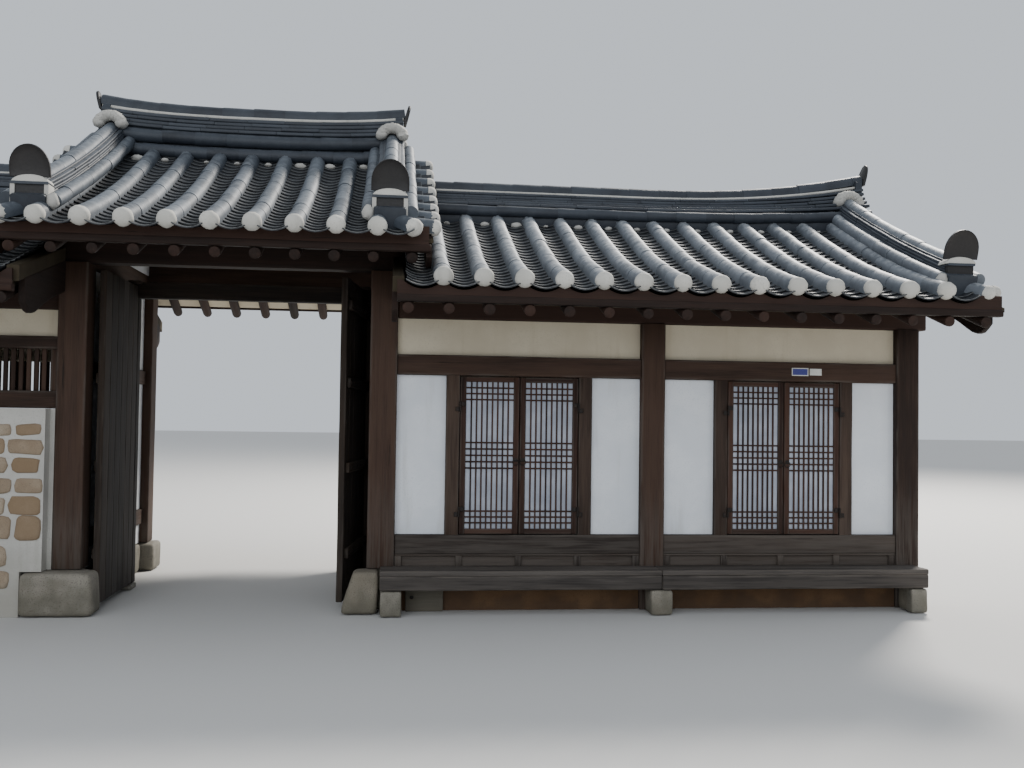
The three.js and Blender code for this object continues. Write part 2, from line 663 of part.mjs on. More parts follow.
function rightFront() {
  rightWing.add(piece("right_front_post_middle", wingPost(1, MID_X, -1, [0, PLATE_UNDERSIDE]), agedTimber));
  rightWing.add(piece("right_front_post_end", wingPost(1, END_X, -1, [0, PLATE_UNDERSIDE]), agedTimber));
  rightWing.add(piece("right_front_plate", wingPlate(-1, 1), agedTimber));
  wingBays(1).forEach((bay, i) => doorFrame(i + 1, bay, doorCentres[i]));
  doorCentres.forEach((centre, i) => {
    roomLeaf(i + 1, centre, -1, "left");
    roomLeaf(i + 1, centre, 1, "right");
  });
  const [near, far] = wingBays(1);
  const [first, second] = doorCentres;
  const depth = [-INNER, -PANEL_FACE];
  const tall = [LOW_RAIL[1], HIGH_RAIL[0]];
  const byGate = box([near[0], first - DOOR_FRAME_HALF], depth, tall);
  rightWing.add(piece("plaster_by_gate", byGate, plaster));
  const between = joined([
    box([first + DOOR_FRAME_HALF, near[1]], depth, tall),
    box([far[0], second - DOOR_FRAME_HALF], depth, tall),
    box([near[1], far[0]], [-INNER, -SKIN], tall),
  ]);
  rightWing.add(piece("plaster_between_doors", between, plaster));
  const atEnd = box([second + DOOR_FRAME_HALF, far[1]], depth, tall);
  rightWing.add(piece("plaster_at_end", atEnd, plaster));
  const levels = [HIGH_RAIL[0], PLATE_UNDERSIDE];
  const over = longWall(1, -1, levels, [[HIGH_RAIL[1], PLATE_UNDERSIDE]], [near[0], far[1]]);
  rightWing.add(piece("plaster_over_doors", joined(over), creamPlaster));
}

function rightFloor() {
  const parts = [box([SIDE_SKIN, END_INNER], [-INNER, INNER], [0, FLOOR_TOP])];
  for (const bay of wingBays(1)) {
    parts.push(box(bay, [-INNER, -RAIL_BACK], [0, FLOOR_TOP]));
    parts.push(box(bay, [-INNER, CLAY_FACE], [0, APRON_BOTTOM]));
  }
  rightWing.add(piece("right_floor", joined(parts), clay));
}

function rightBack() {
  const rails = [LOW_RAIL, HIGH_RAIL];
  rightWing.add(piece("right_back_frame", backFrame(1, rails), agedTimber));
  const panels = [
    [0, LOW_RAIL[0]],
    [LOW_RAIL[1], HIGH_RAIL[0]],
    [HIGH_RAIL[1], PLATE_UNDERSIDE],
  ];
  const levels = [0, PLATE_UNDERSIDE];
  const back = longWall(1, 1, levels, panels, [GATE_FACE, END_SKIN]);
  rightWing.add(piece("right_back_wall", joined(back), plaster));
  const end = [...endWall(1, levels, panels), ...gablePlaster(1)];
  rightWing.add(piece("right_end_wall", joined(end), plaster));
}

// Bench along the right wing, set against the gate's post, and the cover of the hearth
function bench() {
  const TOP = 395;
  const BOARD_UNDERSIDE = 345;
  const BEAM_UNDERSIDE = 225;
  const BEAM = 60;
  const FRONT = -1620;
  const BACK = -ROW - GATE_POST / 2 - SEAT_GAP;
  const SPAN = [1300, 6140];
  const board = box(SPAN, [FRONT, BACK], [BOARD_UNDERSIDE, TOP]);
  const beam = box(SPAN, [FRONT, FRONT + BEAM], [BEAM_UNDERSIDE, BOARD_UNDERSIDE]);
  rightWing.add(piece("bench", joined([board, beam]), greyTimber));
  const legs = [
    ["left", [SPAN[0], 1490]],
    ["middle", [3620, 3820]],
    ["right", [5980, SPAN[1]]],
  ];
  for (const [word, x] of legs) {
    const leg = joined([
      box(x, [FRONT + BEAM, BACK - 20], [0, BOARD_UNDERSIDE]),
      box(x, [FRONT + 5, FRONT + BEAM], [0, BEAM_UNDERSIDE]),
    ]);
    rightWing.add(piece(`bench_leg_${word}`, leg, granite));
  }
  const HEARTH = [1520, 1850];
  rightWing.add(piece("hearth_cover", box(HEARTH, [CLAY_FACE - 50, CLAY_FACE], [0, 210]), greyTimber));
}

rightFront();
rightFloor();
rightBack();
bench();
wingRoofParts(rightWing, 1, "right");

// Left wing: a store behind fire walls of stone, with barred vents under the eaves
const FIRE_WALL_FACE = 1440;
const END_FIRE_FACE = END_FACE + 120;

// Jambs and a middle post of a vent between two rails.
function ventFrame(bay, row) {
  const WIDE = 60;
  const SET_BACK = 20;
  const [x0, x1] = ordered(bay);
  const middle = (x0 + x1) / 2;
  const z = [VENT_SILL[1], VENT_HEAD[0]];
  const y = [row * RAIL_BACK, row * (RAIL_FACE - SET_BACK)];
  return [
    box([x0, x0 + WIDE], y, z),
    box([middle - WIDE / 2, middle + WIDE / 2], y, z),
    box([x1 - WIDE, x1], y, z),
  ];
}

function leftFrames() {
  const bays = wingBays(-1);
  const parts = [wingPlate(-1, -1)];
  for (const x of [MID_X, END_X]) parts.push(wingPost(-1, x, -1, [0, PLATE_UNDERSIDE]));
  for (const bay of bays) {
    for (const z of [VENT_SILL, VENT_HEAD]) parts.push(box(bay, [-RAIL_BACK, -RAIL_FACE], z));
    parts.push(...ventFrame(bay, -1));
  }
  leftWing.add(piece("left_front_frame", joined(parts), agedTimber));
  const vents = bays.flatMap((bay) => ventFrame(bay, 1));
  leftWing.add(piece("left_back_frame", backFrame(-1, [VENT_SILL, VENT_HEAD], vents), agedTimber));
}

// A fire wall stands proud of its posts, and the front one is cut around the stone of the gate's post.
function fireWall(row) {
  const tall = [0, STONE_TOP];
  const FROM_GATE = 37;
  const parts = longWall(-1, row, tall, [], [-GATE_FACE, -END_SKIN]);
  for (const bay of wingBays(-1)) parts.push(box(bay, [row * RAIL_BACK, row * WING_FACE], tall));
  parts.push(box([-GATE_FACE - FROM_GATE, -END_FIRE_FACE], [row * WING_FACE, row * FIRE_WALL_FACE], tall));
  if (row > 0) return joined(parts);
  const stoneX = [-frontStoneX(-1)[1] - SEAT_GAP, -GATE_FACE];
  const stoneY = [-FIRE_WALL_FACE - 1, FRONT_STONE_Y[1] + SEAT_GAP];
  return cutBy(joined(parts), [box(stoneX, stoneY, [-1, GATE_STONE_TOP + SEAT_GAP])]);
}

function leftWalls() {
  leftWing.add(piece("left_front_stone_wall", fireWall(-1), stoneWall));
  leftWing.add(piece("left_back_stone_wall", fireWall(1), stoneWall));
  const end = endWall(-1, [0, STONE_TOP], []);
  for (const half of [-1, 1]) {
    const bay = [half * GABLE_POST_HALF, half * SKIN];
    end.push(box([-END_RAIL_BACK, -END_FACE], bay, [0, STONE_TOP]));
  }
  end.push(box([-END_FACE, -END_FIRE_FACE], [-WING_FACE, WING_FACE], [0, STONE_TOP]));
  leftWing.add(piece("left_end_stone_wall", joined(end), stoneWall));

  const band = [VENT_HEAD[0], PLATE_UNDERSIDE];
  const panel = [VENT_HEAD[1], PLATE_UNDERSIDE];
  for (const [word, row] of [["front", -1], ["back", 1]]) {
    const wall = longWall(-1, row, band, [panel], [-GATE_FACE, -END_SKIN]);
    leftWing.add(piece(`left_${word}_plaster`, joined(wall), creamPlaster));
  }
  const levels = [STONE_TOP, PLATE_UNDERSIDE];
  const panels = [[VENT_SILL[1], VENT_HEAD[0]], panel];
  const upper = joined([...endWall(-1, levels, panels), ...gablePlaster(-1)]);
  leftWing.add(piece("left_end_plaster", upper, creamPlaster));
}

leftFrames();
leftWalls();
wingRoofParts(leftWing, -1, "left");

export default house;
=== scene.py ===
"""Finish of a traditional Korean gate building: tiled roofs, timber, plaster, fieldstone and lattice doors.

Every size is in metres in the building's own frame, with the courtyard on the -Y side and the ground at 0.
"""

import logging
import math
import random
from collections.abc import Callable
from dataclasses import dataclass, field, replace
from enum import Enum

import bpy
import numpy as np
from mathutils import Matrix, Vector, noise


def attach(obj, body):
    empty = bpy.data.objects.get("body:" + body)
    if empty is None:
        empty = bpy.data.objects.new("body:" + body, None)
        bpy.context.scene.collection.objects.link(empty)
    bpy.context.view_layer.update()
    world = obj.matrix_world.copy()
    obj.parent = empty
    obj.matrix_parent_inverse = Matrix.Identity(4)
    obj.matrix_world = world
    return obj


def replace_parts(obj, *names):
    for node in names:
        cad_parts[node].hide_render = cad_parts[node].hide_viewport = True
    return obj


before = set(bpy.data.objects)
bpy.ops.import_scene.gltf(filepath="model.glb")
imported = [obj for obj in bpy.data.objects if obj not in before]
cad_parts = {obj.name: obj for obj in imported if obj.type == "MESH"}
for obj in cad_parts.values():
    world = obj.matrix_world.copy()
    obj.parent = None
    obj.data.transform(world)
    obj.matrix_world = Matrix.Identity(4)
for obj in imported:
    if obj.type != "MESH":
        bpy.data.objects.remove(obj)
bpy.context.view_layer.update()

log = logging.getLogger("gate_building")

Colour = tuple[float, float, float]
Place = tuple[float, float, float]
Span = tuple[float, float]
Box = tuple[Span, Span, Span]
Socket = bpy.types.NodeSocket

# Places that more than one part of the building shares, with the right wing's X
LOW_RAIL = (0.49, 0.66)
HIGH_RAIL = (2.05, 2.23)
VENT_SILL = (1.71, 1.86)
VENT_HEAD = (2.21, 2.32)
RAIL_DEPTH = (1.182, 1.298)
WING_POST_DEPTH = (1.09, 1.308)
WING_POST_HEIGHT = (0.0, 2.55)
WING_BAYS = ((1.42, 3.59), (3.81, 5.99))
DOOR_CENTRES = (2.5, 4.925)
DOOR_PIN = 0.527
KNUCKLE_Y = -1.304
HINGE_HEIGHTS = (0.86, 1.78)


class Axis(Enum):
    """The axis that the length of a timber or a course of tiles runs along."""

    X = 0
    Y = 1
    Z = 2


class Side(Enum):
    """One of the two long sides, as the sign of its Y."""

    FRONT = -1
    BACK = 1


# Shader nodes


class Graph:
    """Adds nodes to one node tree and links them."""

    def __init__(self, tree: bpy.types.NodeTree) -> None:
        """Keeps the tree that the nodes go into."""
        self.tree = tree

    def node(self, kind: str, inputs: dict | None = None, **settings: object) -> bpy.types.Node:
        """Adds a shader node.

        Args:
            kind: The node's type, without its ShaderNode prefix.
            inputs: Values or sockets for its inputs, by name or index.
            settings: Attributes of the node itself.

        Returns:
            The new node.
        """
        made = self.tree.nodes.new("ShaderNode" + kind)
        for name, value in settings.items():
            setattr(made, name, value)
        for key, value in (inputs or {}).items():
            self.feed(made.inputs[key], value)
        return made

    def feed(self, socket: Socket, value: object) -> None:
        """Links a socket into another, or sets its own value.

        Args:
            socket: The input.
            value: The socket or the value that it takes.
        """
        if isinstance(value, Socket):
            self.tree.links.new(value, socket)
        elif isinstance(value, tuple) and len(value) == 3 and len(socket.default_value) == 4:
            socket.default_value = (*value, 1.0)
        else:
            socket.default_value = value

    def math(self, operation: str, first: object, second: object) -> Socket:
        """A number made from two others by a math node."""
        return self.node("Math", {0: first, 1: second}, operation=operation).outputs[0]

    def total(self, base: object, *terms: tuple[object, float]) -> Socket:
        """A base number plus others, each times its weight."""
        for value, weight in terms:
            base = self.math("ADD", base, self.math("MULTIPLY", value, weight))
        return base

    def place(self) -> Socket:
        """The place of each point of the surface."""
        return self.node("NewGeometry").outputs["Position"]

    def scaled(self, vector: object, scale: Place) -> Socket:
        """A vector stretched along its axes."""
        return self.node("VectorMath", {0: vector, 1: scale}, operation="MULTIPLY").outputs[0]

    def noise(self, vector: object, scale: float, detail: float = 3.0, rough: float = 0.55) -> Socket:
        """A noise value between 0 and 1 at each point."""
        inputs = {"Vector": vector, "Scale": scale, "Detail": detail, "Roughness": rough}
        return self.node("TexNoise", inputs).outputs["Fac"]

    def streaks(
        self, grain: object, along: float, across: float, detail: float, rough: float = 0.55
    ) -> Socket:
        """Noise that is drawn out along the grain."""
        return self.noise(self.scaled(grain, (along, across, across)), 1.0, detail, rough)

    def between(self, value: object, low: float, high: float) -> Socket:
        """A value's place between two levels, from 0 to 1, with soft ends."""
        inputs = {"Value": value, "From Min": low, "From Max": high}
        return self.node("MapRange", inputs, interpolation_type="SMOOTHSTEP").outputs["Result"]

    def mix(self, share: object, first: object, second: object) -> Socket:
        """A colour mixed from two others."""
        return self.node("Mix", {0: share, 6: first, 7: second}, data_type="RGBA").outputs[2]

    def named(self, name: str, output: str = "Fac") -> Socket:
        """A value or vector stored on the mesh."""
        return self.node("Attribute", attribute_name=name).outputs[output]

    def group(self, tree: bpy.types.NodeTree, inputs: dict) -> bpy.types.NodeOutputs:
        """Places a shared node group.

        Args:
            tree: The group's node tree.
            inputs: Values or sockets for its inputs, by name.

        Returns:
            Its outputs.
        """
        made = self.node("Group")
        made.node_tree = tree
        for name, value in inputs.items():
            self.feed(made.inputs[name], value)
        return made.outputs


class EffectGroup(Graph):
    """A node group with named inputs and outputs, built once and used in many materials."""

    def __init__(self, name: str, inputs: dict[str, object], outputs: tuple[str, ...]) -> None:
        """Makes an empty group.

        Args:
            name: The group's name.
            inputs: Each input's name and default, which also gives its kind.
            outputs: The names of its outputs. Color is a colour, and the others are numbers.
        """
        super().__init__(bpy.data.node_groups.new(name, "ShaderNodeTree"))
        for label, default in inputs.items():
            kind = "Float" if isinstance(default, float) else ("Vector" if default is None else "Color")
            socket = self.socket(label, "INPUT", kind)
            if default is not None:
                socket.default_value = default if kind == "Float" else (*default, 1.0)
        for label in outputs:
            self.socket(label, "OUTPUT", "Color" if label == "Color" else "Float")
        self.given = self.tree.nodes.new("NodeGroupInput").outputs
        self.result = self.tree.nodes.new("NodeGroupOutput").inputs

    def socket(self, label: str, way: str, kind: str) -> bpy.types.NodeTreeInterfaceSocket:
        """Adds one input or output to the group."""
        return self.tree.interface.new_socket(label, in_out=way, socket_type=f"NodeSocket{kind}")

    def put(self, label: str, socket: Socket) -> None:
        """Links a socket to one of the group's outputs."""
        self.tree.links.new(socket, self.result[label])


class Effects:
    """The shader effects that more than one finish uses."""

    def __init__(self) -> None:
        """Builds each shared group once."""
        self.wood = self.wood_grain()
        self.grime = self.ground_grime()
        self.wear = self.edge_wear()
        self.grit = self.stone_grit()

    @staticmethod
    def wood_grain() -> bpy.types.NodeTree:
        """Long streaks, fine fibres and drying cracks that run along a timber.

        Returns:
            The group's node tree.
        """
        inputs = {"Grain": None, "Tone": 0.5, "Dark": (0.05, 0.03, 0.02), "Light": (0.12, 0.08, 0.05)}
        made = EffectGroup("Wood grain", inputs, ("Color", "Height"))
        grain = made.given["Grain"]
        streaks = made.streaks(grain, 1.1, 16.0, 4.0)
        fibres = made.streaks(grain, 5.0, 150.0, 3.0)
        drift = made.streaks(grain, 0.8, 3.0, 2.0)
        crack = made.between(made.streaks(grain, 0.9, 34.0, 5.0, 0.7), 0.64, 0.70)
        share = made.total(0.0, (streaks, 0.7), (fibres, 0.5), (drift, 0.5), (made.given["Tone"], 0.5))
        body = made.mix(made.between(share, 0.75, 1.45), made.given["Dark"], made.given["Light"])
        made.put("Color", made.mix(made.math("MULTIPLY", crack, 0.75), body, (0.012, 0.009, 0.007)))
        made.put("Height", made.total(0.0, (streaks, 0.5), (fibres, 0.35), (crack, -1.0)))
        return made.tree

    @staticmethod
    def ground_grime() -> bpy.types.NodeTree:
        """A stain that is strongest near the ground and fades upwards in patches.

        Returns:
            The group's node tree.
        """
        made = EffectGroup("Ground grime", {"Reach": 0.8, "Patches": 3.0}, ("Mask",))
        place = made.place()
        height = made.node("SeparateXYZ", {0: place}).outputs["Z"]
        patches = made.noise(place, made.given["Patches"], 5.0)
        uneven = made.total(height, (made.math("SUBTRACT", 0.5, patches), 0.9))
        low = made.math("SUBTRACT", 1.0, made.math("DIVIDE", uneven, made.given["Reach"]))
        made.put("Mask", made.between(low, 0.0, 1.0))
        return made.tree

    @staticmethod
    def edge_wear() -> bpy.types.NodeTree:
        """The rubbed edges of a piece, broken up by noise.

        Returns:
            The group's node tree.
        """
        made = EffectGroup("Edge wear", {"Grain": None, "Amount": 0.6}, ("Mask",))
        broken = made.between(made.streaks(made.given["Grain"], 3.0, 20.0, 4.0), 0.38, 0.62)
        share = made.math("MULTIPLY", made.named("edge"), broken)
        made.put("Mask", made.math("MULTIPLY", share, made.given["Amount"]))
        return made.tree

    @staticmethod
    def stone_grit() -> bpy.types.NodeTree:
        """Patches and fine grains of a mineral surface.

        Returns:
            The group's node tree.
        """
        colours = {"Base": (0.3, 0.28, 0.25), "Light": (0.5, 0.48, 0.45), "Dark": (0.1, 0.1, 0.1)}
        made = EffectGroup("Stone grit", {"Size": 1.0, **colours}, ("Color", "Height"))
        given = made.given
        inputs = {0: made.place(), "Scale": given["Size"]}
        scaled = made.node("VectorMath", inputs, operation="SCALE").outputs[0]
        patches = made.noise(scaled, 4.0, 5.0)
        grains = made.noise(scaled, 130.0, 2.0)
        lit = made.mix(made.between(patches, 0.35, 0.7), given["Base"], given["Light"])
        made.put("Color", made.mix(made.between(grains, 0.56, 0.68), lit, given["Dark"]))
        made.put("Height", made.total(0.0, (patches, 0.6), (grains, 0.4)))
        return made.tree


class Coat(Graph):
    """The graph of one material, around its Principled shader."""

    def __init__(self, name: str, effects: Effects) -> None:
        """Makes the material.

        Args:
            name: Its name.
            effects: The shared groups.
        """
        self.material = bpy.data.materials.new(name)
        self.material.use_nodes = True
        self.effects = effects
        super().__init__(self.material.node_tree)

    def grit(self, size: float, base: Colour, light: Colour, dark: Colour) -> bpy.types.NodeOutputs:
        """The shared grit with this finish's colours."""
        inputs = {"Size": size, "Base": base, "Light": light, "Dark": dark}
        return self.group(self.effects.grit, inputs)

    def grime(self, reach: float, patches: float) -> Socket:
        """The shared stain at the foot of the building."""
        return self.group(self.effects.grime, {"Reach": reach, "Patches": patches})["Mask"]

    def wear(self, grain: Socket, amount: float) -> Socket:
        """The shared wear along rubbed edges."""
        return self.group(self.effects.wear, {"Grain": grain, "Amount": amount})["Mask"]

    def done(
        self, colour: Socket, rough: Socket, height: Socket, strength: float, depth: float,
        own: dict[str, float] | None = None,
    ) -> None:
        """Feeds the shader.

        Args:
            colour: The colour of each point.
            rough: The roughness of each point.
            height: The height that the bump is made from.
            strength: How strong the bump is.
            depth: How deep the bump is, in metres.
            own: Values that are the same all over, by the name of the shader's socket.
        """
        bump = self.node("Bump", {"Height": height, "Strength": strength, "Distance": depth})
        shader = self.tree.nodes["Principled BSDF"]
        fed = {"Base Color": colour, "Roughness": rough, "Normal": bump.outputs["Normal"], **(own or {})}
        for name, value in fed.items():
            self.feed(shader.inputs[name], value)


@dataclass(frozen=True)
class Finish:
    """What the finishes share: a name, and the record's slot that they belong to."""

    name: str
    slot: str

    def material(self, effects: Effects) -> bpy.types.Material:
        """Builds the material.

        Args:
            effects: The shared groups.

        Returns:
            The finished material.
        """
        coat = Coat(self.name, effects)
        self.dress(coat)
        return coat.material

    def dress(self, coat: Coat) -> None:
        """Builds the nodes of the finish, which each kind of finish does in its own way."""
        raise NotImplementedError(self.name)


@dataclass(frozen=True)
class TimberFinish(Finish):
    """Old timber with grain, cracks, rubbed edges and a grey weathered foot."""

    dark: Colour
    light: Colour
    grey: Colour = (0.105, 0.090, 0.077)
    greying: float = 0.7
    reach: float = 1.3
    wear: float = 0.5
    roughness: float = 0.78

    def dress(self, coat: Coat) -> None:
        """Builds the nodes of the finish.

        Args:
            coat: The material's graph.
        """
        grain = coat.named("grain", "Vector")
        inputs = {"Grain": grain, "Tone": coat.named("tone"), "Dark": self.dark, "Light": self.light}
        wood = coat.group(coat.effects.wood, inputs)
        fibres = coat.streaks(grain, 2.0, 40.0, 3.0)
        stained = coat.math("MULTIPLY", coat.grime(self.reach, 2.2), self.greying)
        greyed = coat.math("MULTIPLY", stained, coat.between(fibres, 0.3, 0.6))
        colour = coat.mix(greyed, wood["Color"], self.grey)
        colour = coat.mix(coat.wear(grain, self.wear), colour, self.grey)
        rough = coat.total(self.roughness + 0.1, (fibres, -0.2))
        coat.done(colour, rough, wood["Height"], 0.55, 0.004, {"Specular IOR Level": 0.3})


@dataclass(frozen=True)
class PlasterFinish(Finish):
    """Lime plaster or clay daub with faint patches, hairline marks and a stained foot."""

    base: Colour
    light: Colour
    stain: Colour
    stain_reach: float = 0.9
    stain_share: float = 0.5
    relief: float = 0.25

    def dress(self, coat: Coat) -> None:
        """Builds the nodes of the finish.

        Args:
            coat: The material's graph.
        """
        grit = coat.grit(0.6, self.base, self.light, self.base)
        place = coat.place()
        runs = coat.noise(coat.scaled(place, (9.0, 9.0, 0.8)), 1.0, 4.0)
        stained = coat.math("MULTIPLY", coat.between(runs, 0.56, 0.8), 0.35)
        colour = coat.mix(stained, grit["Color"], self.stain)
        grime = coat.math("MULTIPLY", coat.grime(self.stain_reach, 4.0), self.stain_share)
        colour = coat.mix(grime, colour, self.stain)
        trowel = coat.noise(coat.scaled(place, (3.0, 3.0, 5.0)), 1.6, 3.0)
        height = coat.total(trowel, (grit["Height"], 0.25))
        rough = coat.total(0.8, (runs, 0.15))
        coat.done(colour, rough, height, self.relief, 0.01, {"Specular IOR Level": 0.25})


@dataclass(frozen=True)
class StoneFinish(Finish):
    """Rough stone with grains, a tone for each block and dirt at the foot."""

    base: Colour
    light: Colour
    dark: Colour
    warm: Colour
    warmth: float = 0.4
    dirt: Colour = (0.09, 0.085, 0.06)
    reach: float = 0.35
    size: float = 1.0

    def dress(self, coat: Coat) -> None:
        """Builds the nodes of the finish.

        Args:
            coat: The material's graph.
        """
        grit = coat.grit(self.size, self.base, self.light, self.dark)
        tone = coat.named("tone")
        colour = coat.mix(coat.math("MULTIPLY", tone, self.warmth), grit["Color"], self.warm)
        grime = coat.math("MULTIPLY", coat.grime(self.reach, 5.0), 0.6)
        colour = coat.mix(grime, colour, self.dirt)
        colour = coat.mix(coat.wear(coat.named("grain", "Vector"), 0.5), colour, self.light)
        coat.done(colour, coat.total(0.72, (tone, 0.2)), grit["Height"], 0.8, 0.012)


@dataclass(frozen=True)
class TileFinish(Finish):
    """Grey fired clay tiles: each with its own tone, dust and painted sunlight on top, painted highlight on
    pale rims, and dark joints.
    """

    dark: Colour = (0.034, 0.043, 0.056)
    light: Colour = (0.100, 0.118, 0.140)
    # The pale colour and its share on upward faces stand for dust and for painted sunlight on the tops
    dust: Colour = (0.26, 0.285, 0.305)
    dusting: float = 0.42
    # How strongly the lower rims are lightened as painted highlight
    rim: float = 0.5

    def dress(self, coat: Coat) -> None:
        """Builds the nodes of the finish.

        Args:
            coat: The material's graph.
        """
        place = coat.place()
        up = coat.node("SeparateXYZ", {0: coat.node("NewGeometry").outputs["Normal"]}).outputs["Z"]
        patches = coat.noise(place, 5.0, 6.0, 0.65)
        share = coat.total(0.0, (coat.named("tone"), 0.3), (patches, 0.8))
        colour = coat.mix(coat.between(share, 0.25, 0.85), self.dark, self.light)
        settled = coat.noise(place, 14.0, 6.0, 0.7)
        # Upward faces turn pale: dust, and painted sunlight on the tops
        dust = coat.math("MULTIPLY", coat.between(up, 0.25, 0.95), coat.between(settled, 0.35, 0.72))
        colour = coat.mix(coat.math("MULTIPLY", dust, self.dusting), colour, self.dust)
        # Lower rims lightened as painted highlight
        rims = coat.math("MULTIPLY", coat.math("POWER", coat.named("edge"), 6.0), self.rim)
        fine = coat.noise(place, 60.0, 3.0)
        height = coat.math("ADD", fine, settled)
        colour = coat.mix(rims, colour, self.dust)
        coat.done(colour, coat.total(0.42, (fine, 0.3)), height, 0.35, 0.003)


@dataclass(frozen=True)
class PaperFinish(Finish):
    """Mulberry paper glued behind a lattice: off-white, with fibres and a soft sheen of daylight."""

    base: Colour = (0.40, 0.43, 0.50)
    light: Colour = (0.53, 0.56, 0.63)

    def dress(self, coat: Coat) -> None:
        """Builds the nodes of the finish.

        Args:
            coat: The material's graph.
        """
        grit = coat.grit(1.4, self.base, self.light, self.base)
        fibres = coat.noise(coat.scaled(coat.place(), (60.0, 60.0, 22.0)), 1.0, 4.0, 0.7)
        colour = coat.mix(coat.between(fibres, 0.55, 0.8), grit["Color"], self.light)
        coat.done(colour, coat.total(0.75, (fibres, 0.15)), fibres, 0.2, 0.002)


@dataclass(frozen=True)
class PlainFinish(Finish):
    """Iron or paint: one colour broken by wear and fine spots."""

    base: Colour
    worn: Colour
    metallic: float = 0.0
    roughness: float = 0.55

    def dress(self, coat: Coat) -> None:
        """Builds the nodes of the finish.

        Args:
            coat: The material's graph.
        """
        grit = coat.grit(3.0, self.base, self.base, self.worn)
        spots = coat.noise(coat.place(), 45.0, 4.0)
        colour = coat.mix(coat.between(spots, 0.55, 0.75), grit["Color"], self.worn)
        rough = coat.total(self.roughness - 0.1, (spots, 0.3))
        coat.done(colour, rough, spots, 0.3, 0.002, {"Metallic": self.metallic})


